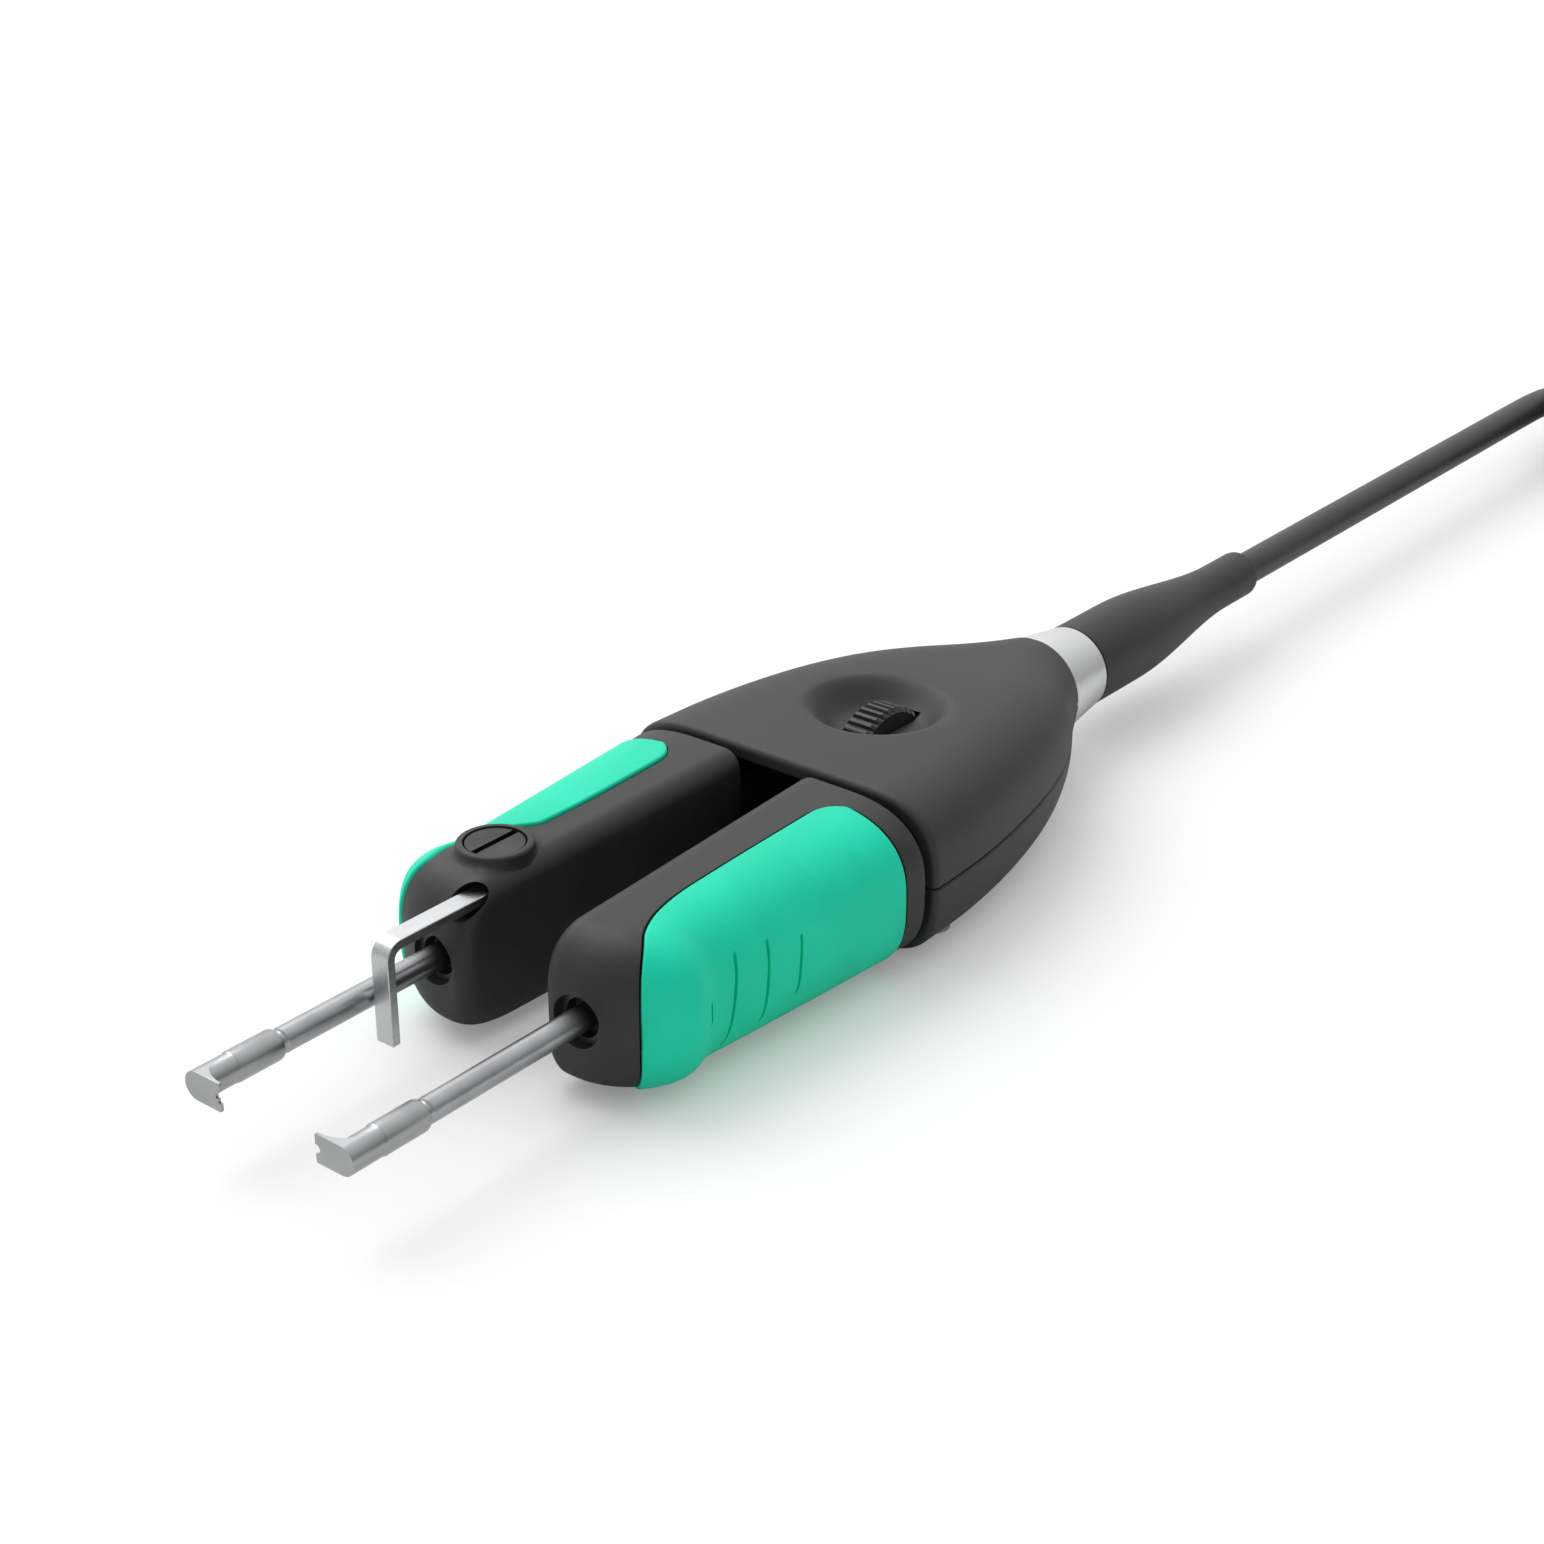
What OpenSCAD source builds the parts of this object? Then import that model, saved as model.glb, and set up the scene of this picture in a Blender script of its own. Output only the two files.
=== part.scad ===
// Thermal wire stripper: two hinged arms with heated blades, a length gauge, a closing stop and a cable.
// Millimetres. +Z is up, the blades point along -Y and the cable leaves along +Y.
// Left and right are the user's own, with the cable towards the user, so the left arm is the one at +X.

/* [Arms] */
// Length of an arm, from its rear face to its front face
arm_len = 47.5; // [42:0.5:54]
// Gap between the two arms at their rear
arm_gap = 8.8; // [8:0.1:10]
// Angle at which each inner side leans away from the middle, in degrees
arm_splay = 1.63; // [1.2:0.01:2]
// Outer side of an arm at its rear, from the middle plane
side_rear = 23.8; // [22.5:0.1:25]
// Outer side halfway along, from the middle plane
side_mid = 22.8; // [21.5:0.1:24]
// Outer side in the finger hollow, from the middle plane
side_hollow = 20.5; // [19.8:0.1:21.5]
// Outer side at the lip ahead of the hollow, from the middle plane
side_lip = 21.5; // [20.8:0.1:22.5]
// Top of an arm at its rear, above the blade axes
arm_rear_top = 10.4; // [9.8:0.1:11]
// Top of an arm at its front, above the blade axes
arm_front_top = 9.4; // [9.2:0.1:10]
// Underside of an arm, below the blade axes
arm_base = 9.8; // [9:0.1:10.2]
// Clear gap between the arms and the housing mouth
mouth_gap = 1.4; // [1:0.1:2.5]

/* [Grips] */
// Thickness of the soft grip where it lies in the arm
grip_t = 2; // [1.4:0.1:2.4]
// Inner edge of the grip on the top and underside, from the middle plane
grip_edge = 11.2; // [10.6:0.1:12.5]
// Rear end of the grip, ahead of the rear face of the arm
grip_rear = 3.2; // [2:0.1:6]
// Front end of the grip, behind the front face of the arm
grip_front = 1.1; // [0.9:0.1:2]
// Open line around the grip
grip_line = 0.16; // [0.1:0.02:0.3]
// How far the grip stands proud of the arm
grip_proud = 0.3; // [0.1:0.05:0.5]

/* [Cartridges] */
// Distance between the two blade axes
axis_spacing = 22; // [21:0.2:23]
// Blade face ahead of the front of the arm
reach = 34.2; // [31:0.2:38]
// Diameter of the cartridge shaft
shaft_d = 3; // [2.6:0.1:3.2]
// Diameter of the heater head
head_d = 3.7; // [3.5:0.1:4]
// Length of the heater head
head_len = 6.2; // [5:0.1:7]
// Diameter of the neck between head and blade
neck_d = 3.5; // [3.2:0.1:3.6]
// Length from the blade face back to the heater head
neck_len = 4.8; // [4.4:0.1:6]
// Inner edge of the blade, inboard of its axis
blade_reach = 3.78; // [3:0.02:3.9]
// Height of the blade
blade_h = 3.7; // [3.2:0.1:4]
// Thickness of the blade at its inner edge
blade_t = 0.7; // [0.5:0.1:1.2]
// Length of the shaft inside the socket
shaft_in = 26; // [22:1:28]
// Outer diameter of the socket in the arm
socket_d = 6.4; // [6:0.1:6.8]

/* [Length gauge] */
// Width of the gauge strip
strip_w = 2.6; // [2:0.1:2.8]
// Thickness of the gauge strip
strip_t = 1.15; // [0.8:0.05:1.3]
// Middle of the strip, from the middle plane
strip_x = 7.7; // [7.5:0.1:7.8]
// Top of the strip, above the blade axes
strip_top = 7.9; // [7.4:0.1:8.2]
// Front of the leg, ahead of the front of the arm
strip_out = 11.7; // [10:0.1:15]
// Length of the leg that hangs at the front
leg_len = 11.6; // [9:0.1:14]
// Length of the strip inside the arm
strip_in = 29; // [24:0.5:30]
// Outside radius of the bend
strip_bend = 2.3; // [1.8:0.1:3]

/* [Gauge clamp] */
// Middle of the clamp screw, behind the front of the arm
boss_back = 10.9; // [9.5:0.1:13]
// Diameter of the raised boss
boss_d = 9.2; // [8.6:0.1:9.8]
// Top of the boss, above the blade axes
boss_top = 10.75; // [10.4:0.05:11.2]
// Diameter of the screw head
screw_head_d = 7; // [6.4:0.1:7.2]
// Diameter of the screw shank
screw_d = 2.6; // [2.2:0.1:3]

/* [Housing] */
// How far the housing stands outside the arms at its mouth
shell_lip = 0.4; // [0.2:0.1:2]
// Height of the housing
shell_h = 21.2; // [21:0.2:23]
// Length of the housing, from its mouth to the collar
shell_len = 56.7; // [54:0.5:62]
// Diameter of the housing where it meets the collar
neck_end_d = 15.2; // [14.8:0.1:16]
// Width of the flat on the top at the mouth
flat_w = 23; // [20:0.5:26]
// Wall of the housing
wall = 2.2; // [1.6:0.1:2.4]
// Diameter of the housing screws
case_screw_d = 2.5; // [2:0.1:2.8]

/* [Hinges] */
// Hinge pins, behind the housing mouth, as a share of the housing's length
hinge_share = 0.574; // [0.56:0.001:0.6]
// Diameter of a hinge pin
pin_d = 3; // [2.5:0.1:3.2]
// Diameter of the eye on the tail of an arm
eye_d = 8; // [7.4:0.1:8.4]
// Height of the tail of an arm, as a share of the housing's height
tail_share = 0.42; // [0.4:0.01:0.43]
// Wire of the return spring
spring_wire = 0.7; // [0.5:0.05:0.8]

/* [Closing stop] */
// Diameter of the thumbwheel
wheel_d = 16.3; // [15:0.1:16.6]
// Width of the thumbwheel
wheel_w = 4.3; // [3.8:0.1:4.5]
// Middle of the thumbwheel, behind the housing mouth, as a share of the housing's length
wheel_share = 0.3633; // [0.355:0.0001:0.37]
// Middle of the thumbwheel, above the blade axes
wheel_lift = 1.95; // [1.5:0.05:2.1]
// Ridges round the thumbwheel
ridges = 40; // [30:1:48]
// Diameter of the dish round the thumbwheel
dish_d = 18; // [17:0.1:19]
// Depth of the dish
dish_depth = 2.4; // [2:0.1:2.6]
// Diameter of the threaded spindle
spindle_d = 3; // [2.5:0.1:3.4]
// Travel of each stop nut along the spindle
nut_travel = 1; // [0.6:0.1:1.1]

/* [Collar and strain relief] */
// Length of the aluminium collar
collar_len = 9.97; // [8:0.01:14]
// Front diameter of the collar
collar_front_d = 14.84; // [14.4:0.02:15.2]
// Rear diameter of the collar
collar_rear_d = 12.28; // [12:0.02:13]
// Length of the strain relief behind the collar
boot_len = 49; // [40:0.5:60]
// Diameter of the strain relief at the collar
boot_d = 12.2; // [11.6:0.1:12.6]
// Diameter of the slim end of the strain relief
boot_end_d = 7.1; // [6.6:0.1:8]

/* [Cable] */
// Diameter of the cable
cable_d = 5.06; // [4.6:0.02:5.4]
// Diameter of the stored coil at the middle of its turns
coil_d = 51; // [50:1:56]
// Diameter of the plug
plug_d = 15; // [14:0.5:17]
// Length of the plug shell
plug_len = 34; // [30:1:40]

/* [Hidden] */
$fn = 64;

// Clearance between turning or sliding faces, and between faces that only lie side by side
run_gap = 0.05;
side_gap = 0.3;
// How far a cut or a hidden root runs past the face it crosses
past = 1;

total_len = reach + arm_len + mouth_gap + shell_len + collar_len + boot_len;
tip_y = -total_len / 2;
front_y = tip_y + reach;
rear_y = front_y + arm_len;
mouth_y = rear_y + mouth_gap;
neck_y = mouth_y + shell_len;
collar_y = neck_y + collar_len;
boot_y = collar_y + boot_len;
mid_z = shell_h / 2;
axis_x = axis_spacing / 2;
hinge_y = mouth_y + shell_len * hinge_share;
wheel_y = mouth_y + shell_len * wheel_share;
shell_w = 2 * (side_rear + shell_lip);
boss_y = front_y + boss_back;

// Nose of an arm: how far each side draws in, and over what length
nose_top = [6, 6];
nose_base = [4, 4];
nose_in = [4, 4];
nose_out = [7.6, 8.5];
// Corner radii of an arm: top outer across and down, top inner, underside outer, underside inner
corner_out = [5.6, 4];
corner_in = 2.6;
corner_base_out = 5;
corner_base_in = 3;
// Shortest side that a corner may leave flat, as a share of the arm's width or height there
corner_share = 0.47;

// Stations along the outer side of an arm, from its rear face forwards, and what the side measures there
side_line = [
  [0, side_rear],
  [arm_len * 0.37, side_mid],
  [arm_len * 0.64, (side_mid + side_hollow) / 2 - 0.1],
  [arm_len * 0.745, side_hollow],
  [arm_len * 0.83, side_lip],
  [arm_len, side_lip],
];
// The inner edge of the grip, which swings out beside the screw boss and runs down the nose
grip_swing = 5.6;
edge_line = [
  [0, grip_edge],
  [arm_len * 0.64, grip_edge],
  [arm_len * 0.7, grip_edge + grip_swing * 0.45],
  [arm_len * 0.76, grip_edge + grip_swing * 0.93],
  [arm_len * 0.86, grip_edge + grip_swing],
  [arm_len, grip_edge + grip_swing],
];
grip_corner = 4;
arm_steps = 20;
corner_steps = 5;
grip_cols = 7;

// Outline of the housing as shares of its change from mouth to collar, seen from above and from the side
plan_line = [[0, 1], [0.19, 0.965], [0.39, 0.862], [0.59, 0.692], [0.75, 0.473], [0.9, 0.176], [1, 0]];
side_fall = [[0, 1], [0.36, 1], [0.5, 0.94], [0.66, 0.75], [0.87, 0.28], [1, 0]];
shell_steps = 17;
shell_cols = 9;

tail_h = shell_h * tail_share;
tail_in = axis_x - 3.2;
tail_out = axis_x + 4.6;
nut_t = 2;
nut_w = 8;
bearing_t = 1.3;
bearing_x = wheel_w / 2 + side_gap + run_gap;
nut_x = bearing_x + bearing_t + side_gap;
spindle_half = nut_x + nut_t;
wheel_z = mid_z + wheel_lift;
// Height of the pedestals' tops, measured down from the housing's top
pedestal_z = shell_h - wheel_z + nut_w / 2 + run_gap;

case_boss_d = case_screw_d + 3;
case_screws = [
  [shell_w / 2 - 5.2, mouth_y + 6.6],
  [0, hinge_y + 3.2],
  [5.2 - shell_w / 2, mouth_y + 6.6],
];
case_screw_in = 5;
rear_screw_y = case_screws[1][1];
clamp_y = neck_y - 0.1975 * shell_len;
clamp_l = 5;
clamp_bar = 3.2;
clamp_half = 6.2;
clamp_screw_x = 4.6;
clamp_screw_r = 0.8;
clamp_screw_in = 4;
cable_start = clamp_y - clamp_l / 2 - 0.5;
spigot_r = 5.25;
spigot_len = 0.58 * collar_len;

socket_lip = 1.2;
socket_len = shaft_in + 6;
contacts_len = 3.2;
lead_d = 2.2;
lead_z = mid_z - 1.6;
lead_x = axis_x - 1.3;
socket_rear = front_y + socket_lip + socket_len;

strip_z = mid_z + strip_top;
slot_gap = 0.2;
slot_end = front_y + strip_in + 7.5;
plate_t = 0.6;
head_z = strip_z + 0.05 + plate_t + run_gap;
head_r = screw_head_d / 2;
insert_z = mid_z + 3.8;
insert_h = strip_z - strip_t - slot_gap - 0.2 - insert_z;

// The cable's own route from the strain relief to its coil, chosen by hand: middle line, Y then height
cable_r = cable_d / 2;
cable_play = 0.2;
// Turns side by side in the coil, and layers of turns
coil_cols = 3;
coil_rows = 3;
coil_gap = 0.5;
coil_y = 232;
coil_pitch = cable_d + 0.06;
coil_w = coil_cols * coil_pitch;
coil_h = coil_rows * coil_pitch;
// The cable runs into the coil's outermost turn. Its last half turn lies on top and leaves on the far side
coil_x = coil_d / 2 + coil_w / 2 - coil_pitch / 2;
route = [
  [boot_y, mid_z], [107, 10.4], [119, 9.8], [131, 9.2], [143, 8.6], [155, 8], [167, 7.4], [179, 6.8],
  [191, 6.3], [203, 5.7], [212, 5.3], [218, 4.6], [223, 3.8], [228, 3.2], [232, 3.1],
];
plug_x = coil_x + coil_d / 2;
plug_y = 184;
plug_z = plug_d / 2;
plug_route = [
  [234, 18.3], [226, 18.3], [219, 17.3], [212, 14.9], [205, 11.9], [198, 9.3], [191, 7.8], [plug_y, plug_z],
];

// Smooth curve through stations of position and value
function slope(p, i) =
  let (a = p[max(0, i - 1)], b = p[min(len(p) - 1, i + 1)]) (b[1] - a[1]) / (b[0] - a[0]);
function span(p, i, s) =
  let (h = p[i + 1][0] - p[i][0], t = min(1, max(0, (s - p[i][0]) / h)))
  (2 * t ^ 3 - 3 * t ^ 2 + 1) * p[i][1] + (t ^ 3 - 2 * t ^ 2 + t) * h * slope(p, i)
  + (3 * t ^ 2 - 2 * t ^ 3) * p[i + 1][1] + (t ^ 3 - t ^ 2) * h * slope(p, i + 1);
function along(p, s, i = 0) = i < len(p) - 2 && s > p[i + 1][0] ? along(p, s, i + 1) : span(p, i, s);

// How far a rounded end draws in at distance e from the end, for a draw of r[0] over a length of r[1]
function draw_in(e, r) = e >= r[1] ? 0 : r[0] * (1 - sqrt(max(0, 1 - ((r[1] - e) / r[1]) ^ 2)));
function less(r, d) = [max(0.4, r[0] - d), max(0.4, r[1] - d)];

// Box of an arm at distance s ahead of its rear face, d inside its skin: inner and outer side, underside, top
function arm_box(s, d) =
  let (e = arm_len - d - s)
  [
    arm_gap / 2 + s * tan(arm_splay) + d + draw_in(e, less(nose_in, d)),
    along(side_line, s) - d - draw_in(e, less(nose_out, d)),
    -arm_base + d + draw_in(e, less(nose_base, d)),
    arm_rear_top + (arm_front_top - arm_rear_top) * s / arm_len - d - draw_in(e, less(nose_top, d)),
  ];
function fitted(r, d, box) =
  [
    min(max(0.3, r[0] - d), corner_share * (box[1] - box[0])),
    min(max(0.3, r[1] - d), corner_share * (box[3] - box[2])),
  ];
function arc(c, r, from) =
  [
    for (i = [0:corner_steps])
      let (a = from + 90 * i / corner_steps) [c[0] + r[0] * cos(a), c[1] + r[1] * sin(a)]
  ];
function arm_ring(s, d) =
  let (
    box = arm_box(s, d),
    a = fitted(corner_out, d, box),
    b = fitted([corner_in, corner_in], d, box),
    c = fitted([corner_base_in, corner_base_in], d, box),
    e = fitted([corner_base_out, corner_base_out], d, box),
    flat = concat(
      arc([box[1] - a[0], box[3] - a[1]], a, 0),
      arc([box[0] + b[0], box[3] - b[1]], b, 90),
      arc([box[0] + c[0], box[2] + c[1]], c, 180),
      arc([box[1] - e[0], box[2] + e[1]], e, 270)
    )
  )
  [for (p = flat) [p[0], rear_y - s, mid_z + p[1]]];

// Grip points from edge to side at station s, d inside the skin, over the top (up = 1) or below (up = -1).
// Past the corner of the arm a point steps this share of an angle inwards per millimetre
straight_rate = 0.09;
function grip_run(s, d, up, in) =
  let (
    box = arm_box(s, d),
    r = fitted(up > 0 ? corner_out : [corner_base_out, corner_base_out], d, box),
    c = [box[1] - r[0], up > 0 ? box[3] - r[1] : -box[2] - r[1]],
    edge = min(grip_inner(s) + in, box[1] - 0.9),
    last = edge > c[0] ? acos((edge - c[0]) / r[0]) : 90 + (c[0] - edge) / straight_rate
  )
  [
    for (i = [0:grip_cols])
      let (u = last * (1 - (i / grip_cols) ^ 1.15))
      [
        u < 90 ? c[0] + r[0] * cos(u) : c[0] - (u - 90) * straight_rate,
        rear_y - s,
        mid_z + up * (u < 90 ? c[1] + r[1] * sin(u) : c[1] + r[1]),
      ]
  ];
function grip_inner(s) =
  along(edge_line, s) + draw_in(max(0, s - grip_rear), [grip_corner, grip_corner]);
function flipped(p) = [for (i = [len(p) - 1:-1:0]) p[i]];
function grip_row(s, d, in) = concat(grip_run(s, d, 1, in), flipped(grip_run(s, d, -1, in)));

// Closed solid through rings of points, anticlockwise as seen from the front, rear ring first
module loft(rings) {
  n = len(rings[0]);
  sides = [
    for (i = [0:len(rings) - 2], j = [0:n - 1])
      let (a = (i + 1) * n + j, b = (i + 1) * n + (j + 1) % n, c = i * n + (j + 1) % n, e = i * n + j)
      each [[a, b, c], [a, c, e]]
  ];
  rear = [for (j = [0:n - 1]) j];
  front = [for (j = [n - 1:-1:0]) (len(rings) - 1) * n + j];
  polyhedron([for (r = rings) each r], concat(sides, [rear, front]), convexity = 6);
}

// Closed solid between an outer and an inner sheet of points with the same rows and columns
module sheet_solid(outer, inner) {
  rows = len(outer);
  n = len(outer[0]);
  below = rows * n;
  skin = [
    for (i = [0:rows - 2], j = [0:n - 2])
      let (a = i * n + j, b = a + 1, c = a + n + 1, e = a + n)
      each [
        [a, b, c], [a, c, e],
        [below + c, below + b, below + a], [below + e, below + c, below + a],
      ]
  ];
  long_edges = [
    for (i = [0:rows - 2])
      let (a = i * n, e = a + n, f = a + n - 1, g = e + n - 1)
      each [
        [a, e, below + e], [a, below + e, below + a],
        [g, f, below + f], [g, below + f, below + g],
      ]
  ];
  short_edges = [
    for (j = [0:n - 2])
      let (a = j, b = j + 1, c = (rows - 1) * n + j, e = c + 1)
      each [
        [b, a, below + a], [b, below + a, below + b],
        [c, e, below + e], [c, below + e, below + c],
      ]
  ];
  points = concat([for (r = outer) each r], [for (r = inner) each r]);
  polyhedron(points, concat(skin, long_edges, short_edges), convexity = 8);
}

// Round tube along a route of points
function heading(p, i) = let (v = p[min(len(p) - 1, i + 1)] - p[max(0, i - 1)]) v / norm(v);
function side_of(v) = let (s = abs(v[2]) > 0.9 ? cross([0, 1, 0], v) : cross([0, 0, 1], v)) s / norm(s);
module tube(p, r, sides) {
  rings = [
    for (i = [len(p) - 1:-1:0])
      let (v = heading(p, i), s = side_of(v), u = cross(v, s))
      [for (k = [0:sides - 1]) let (a = 360 * k / sides) p[i] - r * cos(a) * s + r * sin(a) * u]
  ];
  loft(rings);
}

// Places children whose own axis is Z along +Y, with their base at y on the blade-axis plane
module facing_back(x, y, z) {
  translate([x, y, z]) rotate([-90, 0, 0]) children();
}
module rod_y(x, y, z, r, l) {
  facing_back(x, y, z) cylinder(r = r, h = l);
}
module rod_z(x, y, z, r, l) {
  translate([x, y, z]) cylinder(r = r, h = l);
}
module rod_x(x, y, z, r, l) {
  translate([x, y, z]) rotate([0, 90, 0]) cylinder(r = r, h = l);
}
module slab(lo, hi) {
  translate(lo) cube(hi - lo);
}
module on_right() {
  mirror([1, 0, 0]) children();
}

// Housing

function half_w(s) = neck_end_d / 2 + (shell_w - neck_end_d) / 2 * along(plan_line, s / shell_len);
function half_h(s) = neck_end_d / 2 + (shell_h - neck_end_d) / 2 * along(side_fall, s / shell_len);
function half_flat(s) = 0.3 + flat_w / 2 * max(0, along(plan_line, s / shell_len)) ^ 1.5;
function bulge(s) = 2 + (1 - min(1, max(0, s / shell_len)) ^ 3);
function quarter(s, d) =
  let (f = half_flat(s), w = half_w(s) - d - f, h = half_h(s) - d, n = 2 / bulge(s))
  [for (i = [0:shell_cols]) let (a = 90 * i / shell_cols) [f + w * cos(a) ^ n, h * sin(a) ^ n]];
// Half outline over the top, closed at the split plane or a little below it
function shell_ring(s, d, low) =
  let (q = quarter(s, d), over = concat(q, [for (p = flipped(q)) [-p[0], p[1]]]))
  let (all = low > 0 ? concat([[q[0][0], -low]], over, [[-q[0][0], -low]]) : over)
  [for (p = all) [p[0], mouth_y + s, mid_z + p[1]]];
function shell_station(i) = shell_len * (i / shell_steps);

mouth_round = 0.5;
back_wall = 3;
module shell_skin() {
  stations = concat([for (i = [shell_steps:-1:1]) shell_station(i)], [mouth_round]);
  loft(concat([for (s = stations) shell_ring(s, 0, 0)], [shell_ring(0, mouth_round, 0)]));
}
module shell_hollow() {
  last = shell_len - back_wall;
  stations = [for (i = [shell_steps:-1:0]) last * i / shell_steps];
  mouth = [for (p = shell_ring(0, wall, 1)) p - [0, past, 0]];
  loft(concat([for (s = stations) shell_ring(s, wall, 1)], [mouth]));
}

// Solid features that both halves keep inside their hollow, in the upper half's own sense
module screw_bosses() {
  for (p = case_screws) rod_z(p[0], p[1], mid_z - 2 * past, case_boss_d / 2, mid_z + 2 * past);
}
module hinge_bosses(from) {
  for (x = [-axis_x, axis_x]) rod_z(x, hinge_y, mid_z + from, eye_d / 2 - 0.8, mid_z);
}
pin_cover = 1.7;
pin_half = shell_h / 2 - pin_cover;
press_gap = 0.02;
module pin_holes() {
  for (x = [-axis_x, axis_x]) rod_z(x, hinge_y, mid_z - past, pin_d / 2 + press_gap, pin_half + past);
}
module spigot() {
  intersection() {
    rod_y(0, neck_y - back_wall / 2, mid_z, spigot_r, spigot_len + back_wall / 2);
    slab([-shell_w, neck_y - back_wall, mid_z], [shell_w, neck_y + spigot_len + past, shell_h * 2]);
  }
}
module half_housing() {
  difference() {
    union() {
      shell_skin();
      spigot();
    }
    difference() {
      shell_hollow();
      children();
    }
    rod_y(0, cable_start - 2 * past, mid_z, cable_r + cable_play, total_len);
    pin_holes();
  }
}

spring_turns = 1.5;
spring_rise = spring_wire + 0.03;
spring_r = pin_d / 2 + 0.9;
spring_z = tail_h / 2 + 0.2 + spring_wire / 2;
spring_leg = 4.2;
spring_hook = 6.4;
spring_top = spring_z + spring_turns * spring_rise + spring_wire / 2;
// Housing posts that hold one leg of each return spring
post_r = 0.5;
post_gap = 0.34;
post_x = axis_x + spring_r - spring_wire / 2 - post_gap - post_r;

dish_r = (dish_d ^ 2 / 4 + dish_depth ^ 2) / (2 * dish_depth);
cup_r = dish_d / 2 + 1.4;
cup_z = wheel_lift + spindle_d / 2 + 3;
module wheel_slot() {
  rod_x(-wheel_w / 2 - side_gap, wheel_y, wheel_z, wheel_d / 2 + side_gap, wheel_w + 2 * side_gap);
}
module upper_housing() {
  color("#3f4042")
    difference() {
      half_housing() {
        screw_bosses();
        hinge_bosses(spring_top + side_gap);
        for (x = [-post_x, post_x])
          rod_z(x, hinge_y - spring_leg, mid_z + tail_h / 2 + side_gap, post_r, mid_z);
        rod_z(0, wheel_y, mid_z + cup_z, cup_r, mid_z);
      }
      translate([0, wheel_y, shell_h + dish_r - dish_depth]) sphere(r = dish_r, $fn = 128);
      wheel_slot();
      for (p = case_screws)
        rod_z(p[0], p[1], mid_z - past, case_screw_d / 2 + press_gap, case_screw_in + 0.2 + past);
    }
}

screw_head_h = 1.9;
screw_sink = 1.5;
screw_seat = shell_h / 2 - screw_head_h - screw_sink;
bearing_w = nut_w + 1.6;
module lower_housing() {
  color("#3a3b3d")
    difference() {
      translate([0, 0, shell_h]) mirror([0, 0, 1])
        half_housing() {
          screw_bosses();
          hinge_bosses(tail_h / 2 + side_gap);
          // Pedestals under the bearings and the stop nuts, which keep the nuts from turning
          for (side = [-1, 1])
            translate([side * (bearing_x + spindle_half) / 2, wheel_y, pedestal_z + mid_z / 2])
              cube([spindle_half - bearing_x, bearing_w + 0.4, mid_z], center = true);
          slab(
            [-clamp_half, clamp_y - clamp_l / 2, mid_z - past],
            [clamp_half, clamp_y + clamp_l / 2, shell_h]
          );
        }
      for (p = case_screws) {
        rod_z(p[0], p[1], -past, case_screw_d / 2 + 0.15, shell_h);
        rod_z(p[0], p[1], -past, case_screw_d, mid_z - screw_seat + past);
      }
      wheel_slot();
      for (x = [-clamp_screw_x, clamp_screw_x])
        rod_z(x, clamp_y, mid_z - clamp_screw_in - 0.2, clamp_screw_r + press_gap, clamp_screw_in + past);
    }
}

module housing_screws() {
  color("#8d9094")
    for (p = case_screws)
      difference() {
        union() {
          rod_z(p[0], p[1], mid_z - screw_seat, case_screw_d / 2, screw_seat + case_screw_in);
          rod_z(p[0], p[1], screw_sink, case_screw_d - 0.2, screw_head_h);
        }
        rod_z(p[0], p[1], screw_sink - past, 0.9, past + 1, $fn = 6);
      }
}

module collar() {
  lip = 0.25;
  f = collar_front_d / 2;
  b = collar_rear_d / 2;
  color("#d9dadb")
    facing_back(0, neck_y, mid_z)
      rotate_extrude()
        polygon([
          [spigot_r + 0.02, 0], [f - lip, 0], [f, lip], [b, collar_len - lip], [b - lip, collar_len],
          [spigot_r + 0.02, collar_len],
        ]);
}

boot_root = 0.245 * boot_len;
boot_slim = 0.816 * boot_len;
boot_steps = 14;
function boot_r(t) =
  let (u = min(1, max(0, (t - boot_root) / (boot_slim - boot_root))), k = u ^ 2 * (3 - 2 * u))
  boot_d / 2 + (boot_end_d - boot_d) / 2 * k;
module strain_relief() {
  lip = 0.7;
  bore = cable_r + 0.03;
  root = spigot_len - collar_len + 0.1;
  color("#38393b")
    facing_back(0, collar_y, mid_z)
      rotate_extrude()
        polygon(concat(
          [[bore, root], [spigot_r, root], [spigot_r, 0], [boot_d / 2 - 0.3, 0], [boot_d / 2, 0.4]],
          [
            for (i = [0:boot_steps])
              let (t = boot_root + (boot_slim - boot_root) * i / boot_steps) [boot_r(t), t]
          ],
          [
            for (i = [0:4])
              let (a = 22.5 * i) [boot_end_d / 2 - lip + lip * cos(a), boot_len - lip + lip * sin(a)]
          ],
          [[bore, boot_len]]
        ));
}

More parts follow.
